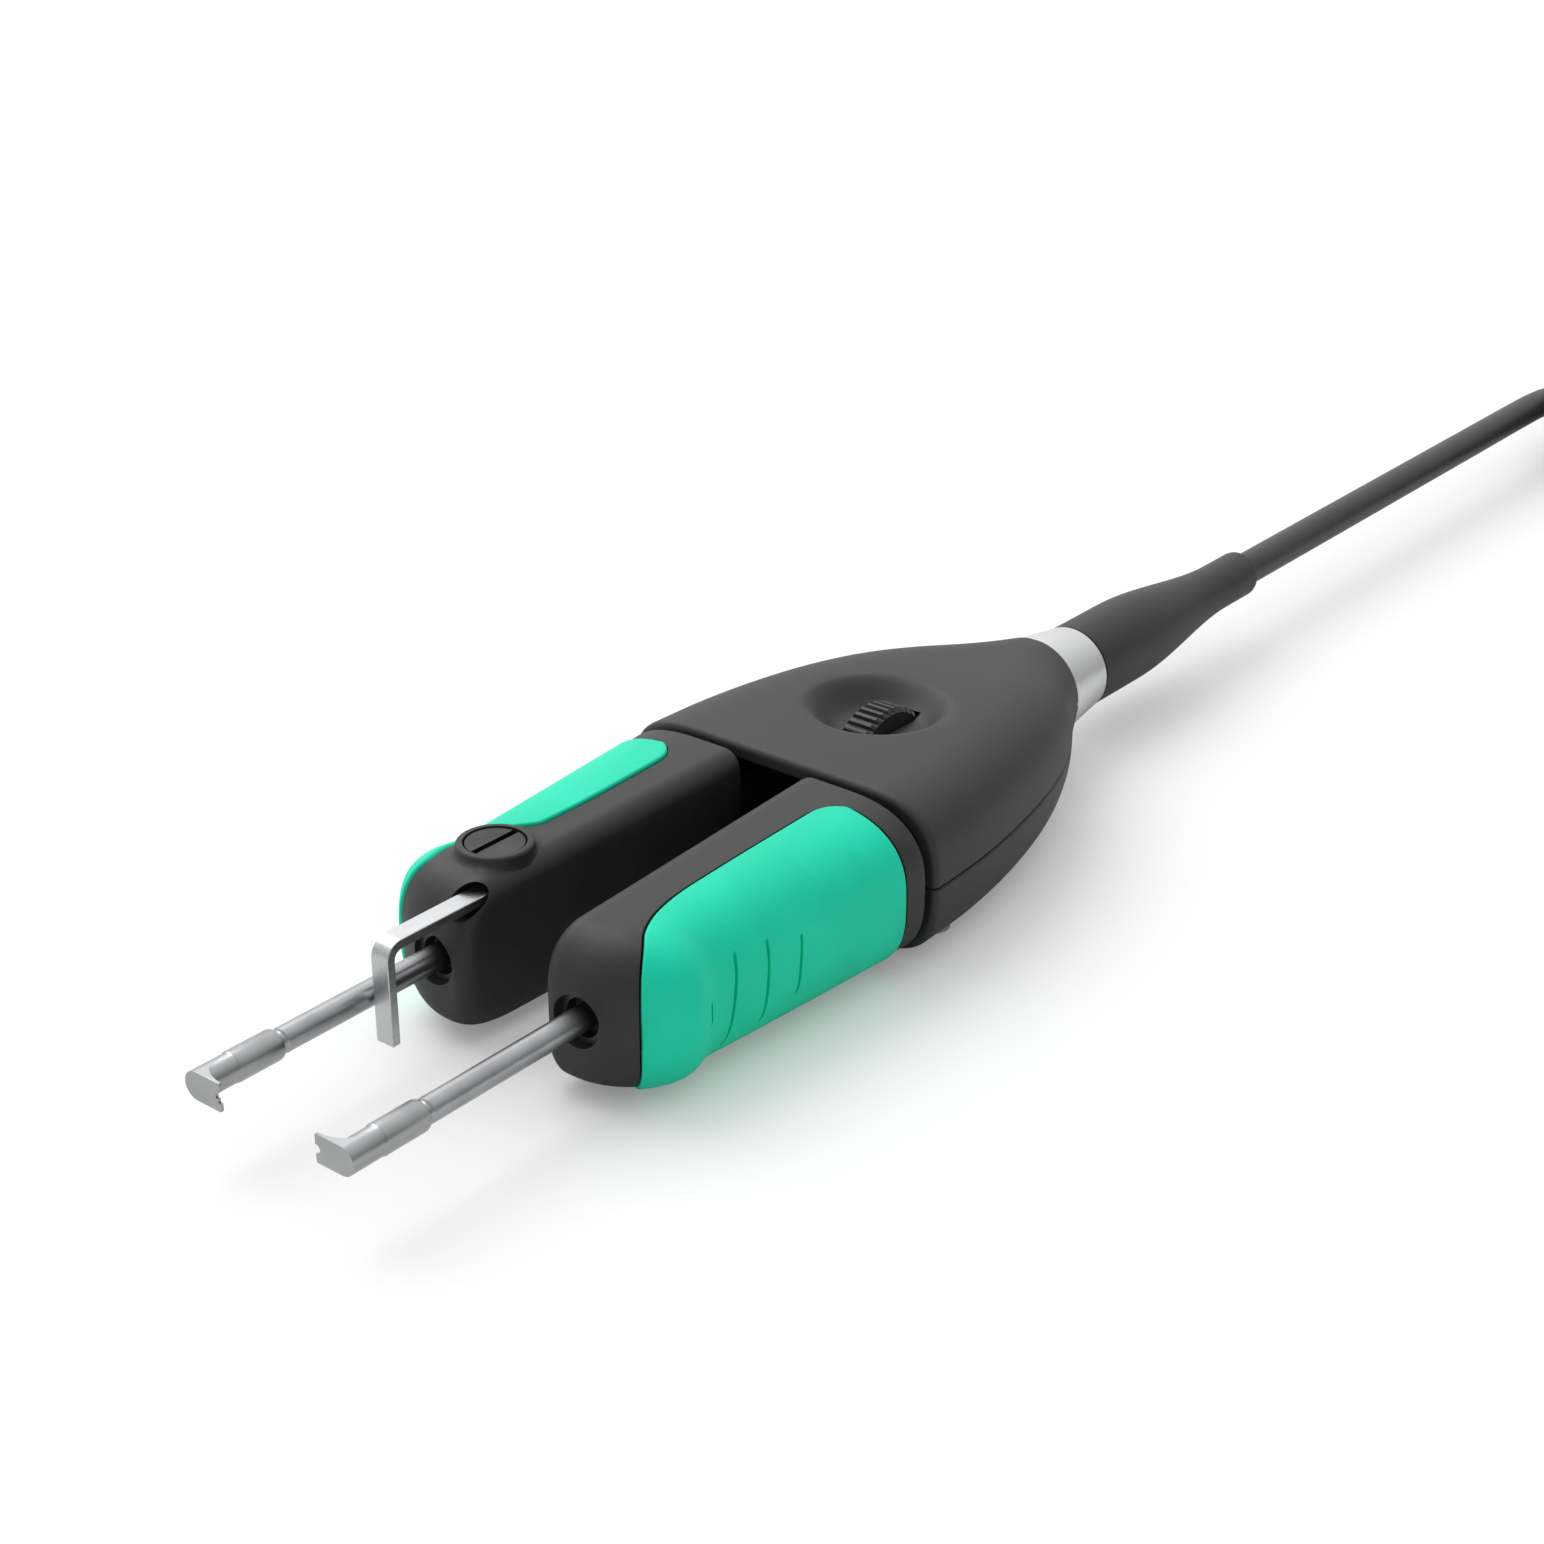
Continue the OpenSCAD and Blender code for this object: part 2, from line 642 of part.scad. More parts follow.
module cable_clamp() {
  color("#6d7074")
    difference() {
      slab(
        [-clamp_half, clamp_y - clamp_l / 2, mid_z + side_gap],
        [clamp_half, clamp_y + clamp_l / 2, mid_z + side_gap + clamp_bar]
      );
      rod_y(0, clamp_y - clamp_l, mid_z, cable_r + 0.01, 2 * clamp_l);
      for (x = [-clamp_screw_x, clamp_screw_x])
        rod_z(x, clamp_y, mid_z - past, clamp_screw_r + run_gap, clamp_bar + 3 * past);
    }
}
module cable_clamp_screws() {
  color("#9a9da0")
    for (x = [-clamp_screw_x, clamp_screw_x]) {
      rod_z(x, clamp_y, mid_z - clamp_screw_in, clamp_screw_r, clamp_screw_in + side_gap + clamp_bar);
      rod_z(x, clamp_y, mid_z + side_gap + clamp_bar, 1.4, 1);
    }
}
module cable_end() {
  color("#2c2d2f")
    rod_y(0, cable_start, mid_z, cable_r, boot_y - cable_start);
}
// Rear end of the lead in an arm, and the end of the housing's lead across the gap from it
lead_end = [tail_in + 0.15, hinge_y - 5.2, lead_z];
lead_start = [tail_in - 2.6, hinge_y - 4.4, lead_z];
// A place between the rear screw and the cable's end
function behind_screw(share) = rear_screw_y + share * (cable_start - rear_screw_y);
module housing_leads() {
  color("#b8402f")
    for (side = [1, -1])
      tube(
        [
          for (p = [
            lead_start, lead_start + [-0.1, 2, 0], [5, rear_screw_y - 1, lead_z],
            [4, behind_screw(0.44), mid_z - 1], [1.4, behind_screw(0.78), mid_z],
            [1.4, cable_start - run_gap, mid_z],
          ]) [side * p[0], p[1], p[2]]
        ],
        lead_d / 2, 8
      );
}

module hinge_pin() {
  color("#b9bcc0")
    rod_z(axis_x, hinge_y, mid_z - pin_half + 0.1, pin_d / 2, 2 * pin_half - 0.2);
}
module left_hinge_pin() {
  hinge_pin();
}
module right_hinge_pin() {
  on_right() hinge_pin();
}

// Closing stop

module spindle_bearings() {
  top = mid_z + cup_z - 0.1;
  base = wheel_z - nut_w / 2 - run_gap;
  color("#d8d3c4")
    for (side = [-1, 1])
      difference() {
        translate([side * (bearing_x + bearing_t / 2), wheel_y, (top + base) / 2])
          cube([bearing_t, bearing_w, top - base], center = true);
        rod_x(-spindle_half, wheel_y, wheel_z, spindle_d / 2 + run_gap, 2 * spindle_half);
      }
}
module thumbwheel() {
  r = wheel_d / 2;
  cut = 0.55;
  step = 360 / ridges;
  color("#2a2b2c")
    difference() {
      translate([-wheel_w / 2, wheel_y, wheel_z])
        rotate([0, 90, 0])
          linear_extrude(height = wheel_w)
            polygon([
              for (i = [0:ridges - 1], k = [[-0.3, 0], [0.3, 0], [0.42, 1], [0.58, 1]])
                let (a = step * (i + k[0]), q = r - cut * k[1]) [q * cos(a), q * sin(a)]
            ]);
      rod_x(-wheel_w, wheel_y, wheel_z, spindle_d / 2, 2 * wheel_w);
    }
}
module stop_spindle() {
  color("#a9acb0")
    rod_x(-spindle_half, wheel_y, wheel_z, spindle_d / 2, 2 * spindle_half);
}
module stop_nut() {
  color("#c9a24a")
    difference() {
      slab(
        [nut_x, wheel_y - nut_w / 2, wheel_z - nut_w / 2],
        [nut_x + nut_t, wheel_y + nut_w / 2, wheel_z + nut_w / 2]
      );
      rod_x(0, wheel_y, wheel_z, spindle_d / 2 + run_gap, 2 * spindle_half);
    }
}
module left_stop_nut() {
  stop_nut();
}
module right_stop_nut() {
  on_right() stop_nut();
}

// Arms

module arm_skin() {
  edge = 0.6;
  body = [for (i = [arm_steps - 1:-1:0]) arm_len * (1 - (i / arm_steps) ^ 1.8)];
  loft(concat([arm_ring(0, edge), arm_ring(edge, 0)], [for (s = body) arm_ring(s, 0)]));
}
// Stations along the grip, closer together where its ends round off
grip_rows = 17;
function grip_stations(rear, front) =
  [
    for (i = [0:grip_rows])
      let (k = i / grip_rows) rear + (front - rear) * (k - sin(360 * k) / 7.2)
  ];
module grip_recess() {
  stations = grip_stations(grip_rear, arm_len - grip_front);
  sheet_solid([for (s = stations) grip_row(s, -1, 0)], [for (s = stations) grip_row(s, grip_t, 0)]);
}
module grip() {
  stations = grip_stations(grip_rear + grip_line, arm_len - grip_front - grip_line);
  last = len(stations) - 1;
  seat = grip_t - 0.06;
  color("#2bdcb5")
    difference() {
      sheet_solid(
        [for (i = [0:last]) grip_row(stations[i], i == 0 || i == last ? 0.4 : -grip_proud, grip_line)],
        [for (s = stations) grip_row(s, seat, grip_line)]
      );
      rod_y(axis_x, front_y - past, mid_z, socket_d / 2 + run_gap, arm_len);
    }
}
module tail() {
  h = tail_h;
  eye = eye_d / 2;
  translate([0, 0, mid_z - h / 2])
    linear_extrude(height = h)
      union() {
        translate([axis_x, hinge_y]) circle(r = eye);
        polygon([
          [tail_in, rear_y - 2], [tail_out, rear_y - 2], [tail_out, mouth_y + shell_len / 4],
          [axis_x + eye, hinge_y], [axis_x - 3, hinge_y], [tail_in, hinge_y - 4],
        ]);
      }
}
module arm_blank() {
  union() {
    arm_skin();
    tail();
  }
}
module arm_cuts() {
  grip_recess();
  rod_y(axis_x, front_y - 1, mid_z, socket_d / 2, socket_lip + socket_len + 1);
  rod_z(axis_x, hinge_y, mid_z - tail_h, bush_r, 2 * tail_h);
  slab([tail_in - 1, socket_rear - 0.5, lead_z - 1.4], [axis_x, hinge_y - 4.2, lead_z + 1.4]);
  rod_z(axis_x - spring_r, hinge_y - spring_hook, mid_z + tail_h / 2 - 2.2, spring_wire / 2 + run_gap, 4);
}
bush_r = pin_d / 2 + 0.8;
module left_arm() {
  color("#3d3e40")
    difference() {
      arm_blank();
      arm_cuts();
    }
}
boss_flare = 2;
boss_steps = 6;
module screw_boss() {
  top = mid_z + boss_top;
  r = boss_d / 2;
  base = mid_z + 4;
  foot = mid_z + arm_front_top - 0.6;
  translate([axis_x, boss_y, 0])
    rotate_extrude()
      polygon(concat(
        [[0, base], [r + boss_flare, base], [r + boss_flare, foot]],
        [
          for (i = [1:boss_steps])
            let (a = 90 * i / boss_steps)
            [r + boss_flare * (1 - sin(a)), foot + (top - 0.35 - foot) * (1 - cos(a))]
        ],
        [[r - 0.35, top], [0, top]]
      ));
}
module right_arm() {
  x0 = strip_x - strip_w / 2 - slot_gap;
  x1 = strip_x + strip_w / 2 + slot_gap;
  color("#3d3e40")
    on_right()
      difference() {
        union() {
          arm_blank();
          screw_boss();
        }
        arm_cuts();
        rod_z(axis_x, boss_y, head_z - plate_t - run_gap, head_r + 0.25, shell_h);
        rod_z(axis_x, boss_y, insert_z, 2.4, insert_h);
        rod_z(axis_x, boss_y, insert_z, screw_d / 2 + 0.15, 10);
        slab([x0, front_y - 2, strip_z - strip_t - slot_gap], [x1, slot_end, strip_z + slot_gap]);
        facing_back(strip_x, front_y - 2, strip_z - strip_t / 2) cylinder(r1 = 2.6, r2 = 1.9, h = 8.6);
      }
}
module left_grip() {
  grip();
}
module right_grip() {
  on_right() grip();
}
module socket() {
  mouth = 1.6;
  color("#202123")
    difference() {
      rod_y(axis_x, front_y + socket_lip, mid_z, socket_d / 2 - 0.02, socket_len);
      rod_y(axis_x, front_y - 1, mid_z, shaft_d / 2 + run_gap, shaft_in + contacts_len + 1.4);
      rod_y(axis_x, front_y - 1, mid_z, socket_d / 2 - 0.8, socket_lip + mouth + 1);
    }
}
module left_socket() {
  socket();
}
module right_socket() {
  on_right() socket();
}
module arm_lead() {
  color("#b8402f")
    tube(
      [
        [lead_x, socket_rear + run_gap, lead_z], [lead_x, (socket_rear + hinge_y) / 2, lead_z],
        [lead_x, hinge_y - 8, lead_z], [lead_x - 0.6, hinge_y - 6.4, lead_z], lead_end,
      ],
      lead_d / 2, 8
    );
}
module left_lead() {
  arm_lead();
}
module right_lead() {
  on_right() arm_lead();
}
module hinge_bush() {
  color("#c9a24a")
    difference() {
      rod_z(axis_x, hinge_y, mid_z - tail_h / 2, bush_r, tail_h);
      rod_z(axis_x, hinge_y, 0, pin_d / 2 + run_gap, shell_h);
    }
}
module left_hinge_bush() {
  hinge_bush();
}
module right_hinge_bush() {
  on_right() hinge_bush();
}
// Torsion spring wound round the hinge pin: one leg hooks into the tail, the other bears on a housing post
module return_spring() {
  rise = spring_rise;
  z = mid_z + spring_z;
  steps = 16;
  hook = [axis_x - spring_r, hinge_y - spring_hook, 0];
  coil = [
    for (i = [0:spring_turns * steps])
      let (a = 180 - 360 * i / steps)
      [axis_x + spring_r * cos(a), hinge_y + spring_r * sin(a), z + rise * i / steps]
  ];
  start = [
    hook + [0, 0, z - 2.2], hook + [0, 0, z - 0.5], hook + [0, 0.15, z - 0.15], hook + [0, 0.5, z],
    [axis_x - spring_r, hinge_y - 2, z],
  ];
  end = [for (l = [1.4, spring_leg + 0.8]) [axis_x + spring_r, hinge_y - l, z + rise * spring_turns]];
  color("#a4a7ab")
    tube(concat(start, coil, end), spring_wire / 2, 6);
}
module left_return_spring() {
  return_spring();
}
module right_return_spring() {
  on_right() return_spring();
}

// Cartridges

groove_w = 0.7;
groove_d = 2.5;
head_y = tip_y + neck_len;
shaft_y = head_y + head_len + groove_w;
// Blade as seen from above: thin at its inner edge, swept back into the neck
module blade_plan() {
  sweep = blade_reach - neck_d / 2;
  steps = 8;
  back = neck_len - 1.2;
  polygon(concat(
    [[axis_x - blade_reach, tip_y], [axis_x + blade_h, tip_y], [axis_x + blade_h, tip_y + back]],
    [[axis_x - neck_d / 2 + 0.1, tip_y + back]],
    [
      for (i = [0:steps])
        let (a = 90 * i / steps)
        [axis_x - neck_d / 2 - sweep * (1 - cos(a)), tip_y + back - 0.3 - (back - 0.3 - blade_t) * sin(a)]
    ]
  ));
}
// Blade as seen from the front: round outside, square towards the other blade
module blade_face() {
  union() {
    circle(r = blade_h / 2);
    translate([-blade_reach, -blade_h / 2]) square([blade_reach, blade_h]);
  }
}
module blade_blank() {
  intersection() {
    translate([0, 0, mid_z - blade_h]) linear_extrude(height = 2 * blade_h) blade_plan();
    translate([axis_x, tip_y - past, mid_z])
      rotate([90, 0, 0])
        mirror([0, 0, 1])
          linear_extrude(height = neck_len + 2 * past) blade_face();
  }
}
module blade_body() {
  back = neck_len + head_len;
  union() {
    blade_blank();
    facing_back(axis_x, tip_y, mid_z)
      rotate_extrude()
        polygon([
          [0, 0.4], [neck_d / 2, 0.4], [neck_d / 2, neck_len - 0.7], [head_d / 2 - 0.3, neck_len],
          [head_d / 2, neck_len + 0.1], [head_d / 2, back - 0.5], [head_d / 2 - 0.15, back - 0.15],
          [groove_d / 2, back], [0, back],
        ]);
  }
}
notch_r = 0.55;
module left_blade() {
  color("#a9abad")
    difference() {
      blade_body();
      rod_y(axis_x - blade_reach + 0.1, tip_y - 1, mid_z - 0.1, notch_r, neck_len);
    }
}
module right_blade() {
  edge = axis_x - blade_reach;
  color("#a9abad")
    on_right()
      difference() {
        blade_body();
        slab([edge - 1, tip_y - 1, mid_z - 0.7], [edge + 0.35, tip_y + neck_len, mid_z + 0.85]);
        slab([edge - 1, tip_y - 1, mid_z - 0.2], [edge + 0.7, tip_y + neck_len, mid_z + 0.45]);
      }
}
module shaft() {
  end = front_y + shaft_in - shaft_y + groove_w;
  color("#b4b6b8")
    facing_back(axis_x, shaft_y - groove_w, mid_z)
      rotate_extrude()
        polygon([
          [0, 0], [groove_d / 2, 0], [groove_d / 2, groove_w - 0.25], [shaft_d / 2, groove_w],
          [shaft_d / 2, end], [0, end],
        ]);
}
module left_shaft() {
  shaft();
}
module right_shaft() {
  on_right() shaft();
}
module contacts() {
  r = shaft_d / 2 - 0.3;
  color("#d9b45a")
    facing_back(axis_x, front_y + shaft_in, mid_z)
      rotate_extrude()
        polygon([
          [0, 0], [r, 0], [r, 0.9], [r - 0.2, 1.1], [r - 0.2, 1.4], [r, 1.6], [r, 2.4],
          [r - 0.5, contacts_len], [0, contacts_len],
        ]);
}
module left_contacts() {
  contacts();
}
module right_contacts() {
  on_right() contacts();
}

// Length gauge and its clamp

module gauge_strip() {
  top = strip_z;
  front = front_y - strip_out;
  inner = strip_bend - strip_t;
  steps = 8;
  outer_bend = [
    for (i = [0:steps])
      let (a = 90 * i / steps) [front + strip_bend * (1 - sin(a)), top - strip_bend * (1 - cos(a))]
  ];
  inner_bend = [
    for (i = [steps:-1:0])
      let (a = 90 * i / steps) [front + strip_bend - inner * sin(a), top - strip_bend + inner * cos(a)]
  ];
  color("#d4d6d8")
    on_right()
      translate([strip_x - strip_w / 2, 0, 0])
        rotate([90, 0, 90])
          linear_extrude(height = strip_w)
            polygon(concat(
              [[front_y + strip_in, top]], outer_bend,
              [[front, top - leg_len], [front + strip_t, top - leg_len]],
              inner_bend, [[front_y + strip_in, top - strip_t]]
            ));
}
module gauge_clamp_plate() {
  color("#9a9da0")
    on_right()
      difference() {
        rod_z(axis_x, boss_y, strip_z + 0.05, head_r, plate_t);
        rod_z(axis_x, boss_y, strip_z - 1, screw_d / 2 + 0.15, 4);
      }
}
module gauge_clamp_insert() {
  color("#c9a24a")
    on_right()
      difference() {
        rod_z(axis_x, boss_y, insert_z, 2.38, insert_h);
        rod_z(axis_x, boss_y, insert_z - 1, screw_d / 2 + run_gap, insert_h + 2);
      }
}
module gauge_screw() {
  head_h = mid_z + boss_top - head_z - 0.15;
  slot = 0.85;
  color("#3b3c3e")
    on_right()
      difference() {
        union() {
          rod_z(axis_x, boss_y, head_z, head_r, head_h);
          rod_z(axis_x, boss_y, insert_z + 0.2, screw_d / 2, head_z - insert_z);
        }
        slab(
          [axis_x - slot / 2, boss_y - head_r - 1, head_z + head_h - 0.7],
          [axis_x + slot / 2, boss_y + head_r + 1, head_z + head_h + 1]
        );
      }
}

// Cable, its stored coil and its plug

module cable() {
  color("#2c2d2f")
    tube([for (p = route) [0, p[0], p[1]]], cable_r, 12);
}
module cable_coil() {
  lip = 2;
  in = coil_d / 2 - coil_w / 2;
  out = coil_d / 2 + coil_w / 2;
  color("#2c2d2f")
    translate([coil_x, coil_y, coil_gap])
      rotate_extrude()
        polygon([
          [in, lip], [in + lip, 0], [out - lip, 0], [out, lip], [out, coil_h - lip], [out - lip, coil_h],
          [in + lip, coil_h], [in, coil_h - lip],
        ]);
}
module cable_tie() {
  t = coil_gap - 0.05;
  w = 4;
  y0 = coil_y + coil_d / 2 - coil_w / 2 - 0.3;
  y1 = coil_y + coil_d / 2 + coil_w / 2 + 0.3;
  color("#1c1d1e")
    difference() {
      slab([coil_x - w / 2, y0 - t, 0], [coil_x + w / 2, y1 + t, coil_gap + coil_h + 0.05 + t]);
      slab([coil_x - w, y0, t], [coil_x + w, y1, coil_gap + coil_h + 0.05]);
    }
}
plug_boot_len = 14;
module plug_boot() {
  l = plug_boot_len;
  color("#2c2d2f") {
    facing_back(plug_x, plug_y - l, plug_z)
      rotate_extrude()
        polygon([
          [0, 0], [plug_d / 2 - 2, 0], [plug_d / 2 - 2.4, 3],
          [cable_r + 1.2, l - 1], [cable_r + 0.6, l], [0, l],
        ]);
    tube([for (p = flipped(plug_route)) [plug_x, p[0], p[1]]], cable_r, 10);
  }
}
plug_front = plug_y - plug_boot_len - plug_len;
plug_body_r = plug_d / 2 - 0.6;
plug_nose_r = plug_d / 2 - 1.2;
plug_wall = 1;
nose_len = 9.5;
module plug_shell() {
  color("#b9bcc0")
    facing_back(plug_x, plug_front, plug_z)
      rotate_extrude()
        polygon([
          [plug_nose_r - plug_wall, 0], [plug_nose_r, 0], [plug_nose_r, nose_len],
          [plug_body_r, nose_len + 0.6],
          [plug_body_r, plug_len - 1], [plug_body_r - 1, plug_len], [0, plug_len],
          [0, plug_len - 3], [plug_nose_r - plug_wall, plug_len - 3],
        ]);
}
module plug_grip() {
  l = 16;
  r = plug_d / 2;
  bore = plug_body_r + 0.01;
  color("#2f3032")
    facing_back(plug_x, plug_front + nose_len + 3, plug_z)
      rotate_extrude()
        polygon([
          [bore, 0], [r - 0.3, 0], [r, 0.3], [r, l - 0.3], [r - 0.3, l], [bore, l],
        ]);
}
module plug_insert() {
  r = plug_nose_r - plug_wall - 0.02;
  pins = 7;
  pin_circle = 3;
  pin_out = 4.5;
  color("#1f2022")
    rod_y(plug_x, plug_front + nose_len, plug_z, r, plug_len - nose_len - 3.02);
  color("#d9b45a")
    for (i = [0:pins - 1])
      rod_y(
        plug_x + (i == 0 ? 0 : pin_circle * cos(60 * i)), plug_front + nose_len - pin_out,
        plug_z + (i == 0 ? 0 : pin_circle * sin(60 * i)), 0.5, pin_out
      );
}

upper_housing();
lower_housing();
housing_screws();
collar();
strain_relief();
cable_clamp();
cable_clamp_screws();
cable_end();
housing_leads();
left_hinge_pin();
right_hinge_pin();
spindle_bearings();
thumbwheel();
stop_spindle();
left_stop_nut();
right_stop_nut();
left_arm();
left_grip();
left_socket();
left_lead();
left_hinge_bush();
left_return_spring();
right_arm();
right_grip();
right_socket();
right_lead();
right_hinge_bush();
right_return_spring();
left_blade();
left_shaft();
left_contacts();
right_blade();
right_shaft();
right_contacts();
gauge_strip();
gauge_clamp_plate();
gauge_clamp_insert();
gauge_screw();
cable();
cable_coil();
cable_tie();
plug_boot();
plug_shell();
plug_grip();
plug_insert();
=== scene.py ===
from math import acos, cos, hypot, pi, radians, sin, sqrt, tan

import bmesh
import bpy
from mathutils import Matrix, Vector


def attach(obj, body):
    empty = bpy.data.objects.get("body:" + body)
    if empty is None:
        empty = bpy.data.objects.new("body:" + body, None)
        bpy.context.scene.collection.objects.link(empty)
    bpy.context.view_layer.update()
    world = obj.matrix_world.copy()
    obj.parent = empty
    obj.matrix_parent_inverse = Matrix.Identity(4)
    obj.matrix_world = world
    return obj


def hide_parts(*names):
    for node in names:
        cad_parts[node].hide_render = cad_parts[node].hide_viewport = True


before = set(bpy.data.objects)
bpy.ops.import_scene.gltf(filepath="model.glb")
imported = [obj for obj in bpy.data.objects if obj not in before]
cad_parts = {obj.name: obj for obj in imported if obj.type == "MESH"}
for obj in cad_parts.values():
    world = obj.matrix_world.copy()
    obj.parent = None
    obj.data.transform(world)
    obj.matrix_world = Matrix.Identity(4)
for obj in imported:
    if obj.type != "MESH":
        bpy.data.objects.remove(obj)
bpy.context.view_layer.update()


def add(name, data):
    """A new object in the scene."""
    made = bpy.data.objects.new(name, data)
    bpy.context.scene.collection.objects.link(made)
    return made


# Camera
# A short telephoto about 0.34 m away, in front of the tool and on its left-hand side.
# Its angle and distance are the photograph's own, worked out from the tool's size.
camera = add("camera", bpy.data.cameras.new("camera"))
camera.data.lens = 61.37
camera.data.clip_end = 50
camera.location = (0.1815, -0.2435, 0.1584)
camera.rotation_euler = (radians(64.41), 0, radians(38.75))
bpy.context.scene.camera = camera

# Cable
# Round flexible cable with a matt PVC jacket, moulded into the strain relief at one end and the plug at the
# other. What the photograph doesn't show of its 1.4 m lies behind the tool, in a coil of three layers.
MM = 0.001
mid_z = 10.6
boot_y = 99.385
cable_d = 5.06
turn_gap = 0.06
coil_y = 232
coil_floor = 0.5
coil_d = 51
coil_pitch = cable_d + turn_gap
coil_turns = 7.5
coil_step = 20
coil_mid = coil_d / 2
coil_out = coil_mid + coil_pitch
coil_low = coil_floor + coil_pitch / 2
plug_x = coil_out + coil_mid
plug_y = 184
plug_z = 7.5


def lin(hex_colour):
    """sRGB hex as linear red, green, blue and alpha."""
    out = []
    for k in (1, 3, 5):
        c = int(hex_colour[k : k + 2], 16) / 255
        out.append(c / 12.92 if c <= 0.04045 else ((c + 0.055) / 1.055) ** 2.4)
    return (*out, 1)


def feed(mat, node, inputs):
    """Sets a shader node's inputs. One that is another node's output is linked."""
    for key, value in inputs.items():
        if isinstance(value, bpy.types.NodeSocket):
            mat.node_tree.links.new(value, node.inputs[key])
        else:
            node.inputs[key].default_value = value


def put(mat, kind, inputs=None, **settings):
    """Adds a shader node with its settings and its inputs."""
    new = mat.node_tree.nodes.new("ShaderNode" + kind)
    for key, value in settings.items():
        setattr(new, key, value)
    feed(mat, new, inputs or {})
    return new


def ramp(mat, source, stops):
    """Colours at places along a value, from 0 to 1."""
    new = put(mat, "ValToRGB", {"Fac": source})
    while len(new.color_ramp.elements) < len(stops):
        new.color_ramp.elements.new(0.5)
    for element, (place, colour) in zip(new.color_ramp.elements, stops):
        element.position = place
        element.color = lin(colour)
    return new.outputs["Color"]


def material(name):
    """An empty material with a Principled shader. Returns it, the shader, and object coordinates in metres."""
    mat = bpy.data.materials.new(name)
    mat.use_nodes = True
    mat.node_tree.nodes.clear()
    skin = put(mat, "BsdfPrincipled")
    put(mat, "OutputMaterial", {"Surface": skin.outputs["BSDF"]})
    return mat, skin, put(mat, "TexCoord").outputs["Object"]


def noise(mat, where, scale, detail, **more):
    """Soft noise. Its scale is 1000 over the pattern's size in millimetres."""
    return put(mat, "TexNoise", {"Vector": where, "Scale": scale, "Detail": detail, **more}).outputs["Fac"]


def relief(mat, pattern, strength, height):
    """The normal of a skin that a pattern raises by up to a height in metres."""
    return put(mat, "Bump", {"Height": pattern, "Strength": strength, "Distance": height}).outputs["Normal"]


def remapped(mat, pattern, low, high):
    """A pattern's values from 0 to 1, moved to run from low to high."""
    return put(mat, "MapRange", {"Value": pattern, "To Min": low, "To Max": high}).outputs["Result"]


def plastic(name, tones, mottle, rough, ior, grain=None, places=(0.3, 0.7)):
    """A plain plastic or rubber: a faint mottle of two tones and, where it shows, a grain in relief.

    mottle is a scale and a detail, and grain a scale, a detail, a strength and a height in metres.
    """
    mat, skin, where = material(name)
    tone = ramp(mat, noise(mat, where, *mottle), list(zip(places, tones)))
    feed(mat, skin, {"Base Color": tone, "Roughness": rough, "IOR": ior})
    if grain:
        feed(mat, skin, {"Normal": relief(mat, noise(mat, where, *grain[:2]), *grain[2:])})
    return mat


def smooth_step(a, b, x):
    """Rises smoothly from 0 at a to 1 at b."""
    t = min(1, max(0, (x - a) / (b - a)))
    return t * t * (3 - 2 * t)


def wound(turn, angle):
    """Radius and height of the cable in the coil. It winds inwards, outwards and inwards again, layer by layer."""
    inner = coil_out - 2 * coil_pitch
    late, early = smooth_step(240, 360, angle), smooth_step(0, 120, angle)
    between = smooth_step(120, 240, angle)
    columns_and_layers = [
        (coil_out, -late, 0, 0),
        (coil_mid, -late, 0, 0),
        (inner, 0, 0, between),
        (inner, early, 1, 0),
        (coil_mid, early, 1, smooth_step(200, 320, angle)),
        (coil_out, -between, 2, 0),
        (coil_mid, -between, 2, 0),
        (inner, smooth_step(60, 180, angle), 2, early),
    ]
    column, shift, layer, rise = columns_and_layers[turn]
    start = 1 - smooth_step(-10, 50, angle) if turn == 0 else 0
    return column + shift * coil_pitch, coil_low + (layer + rise + start) * coil_pitch


# The route from the strain relief, given as Y and height
cable_run = [
    (96, mid_z), (boot_y, mid_z), (120, mid_z), (140, mid_z), (160, mid_z), (180, mid_z), (200, mid_z),
    (206, 10.5), (212, 9.95), (217, 9.1), (222, 8.35), (227, 8.18),
]
cable_line = [(0, y, z) for y, z in cable_run]
for k in range(int(coil_turns * 360 / coil_step) + 1):
    turn, angle = divmod(k * coil_step, 360)
    r, z = wound(turn, angle)
    cable_line.append((coil_out - r * cos(radians(angle)), coil_y + r * sin(radians(angle)), z))
plug_run = [
    (226, 18.45), (221, 18.4), (217, 17.7), (211, 15.2), (204.5, 11.8), (198, 9.2), (191, 7.8),
    (plug_y, plug_z), (181, plug_z),
]
cable_line += [(plug_x, y, z) for y, z in plug_run]
curve = bpy.data.curves.new("cable_jacket", "CURVE")
curve.dimensions = "3D"
curve.bevel_depth = cable_d / 2 * MM
curve.bevel_resolution = 6
curve.resolution_u = 5
curve.use_fill_caps = True
spline = curve.splines.new("BEZIER")
spline.bezier_points.add(len(cable_line) - 1)
for point, place in zip(spline.bezier_points, cable_line):
    point.co = [MM * c for c in place]
    point.handle_left_type = point.handle_right_type = "AUTO"
cable = add("cable_jacket", curve)

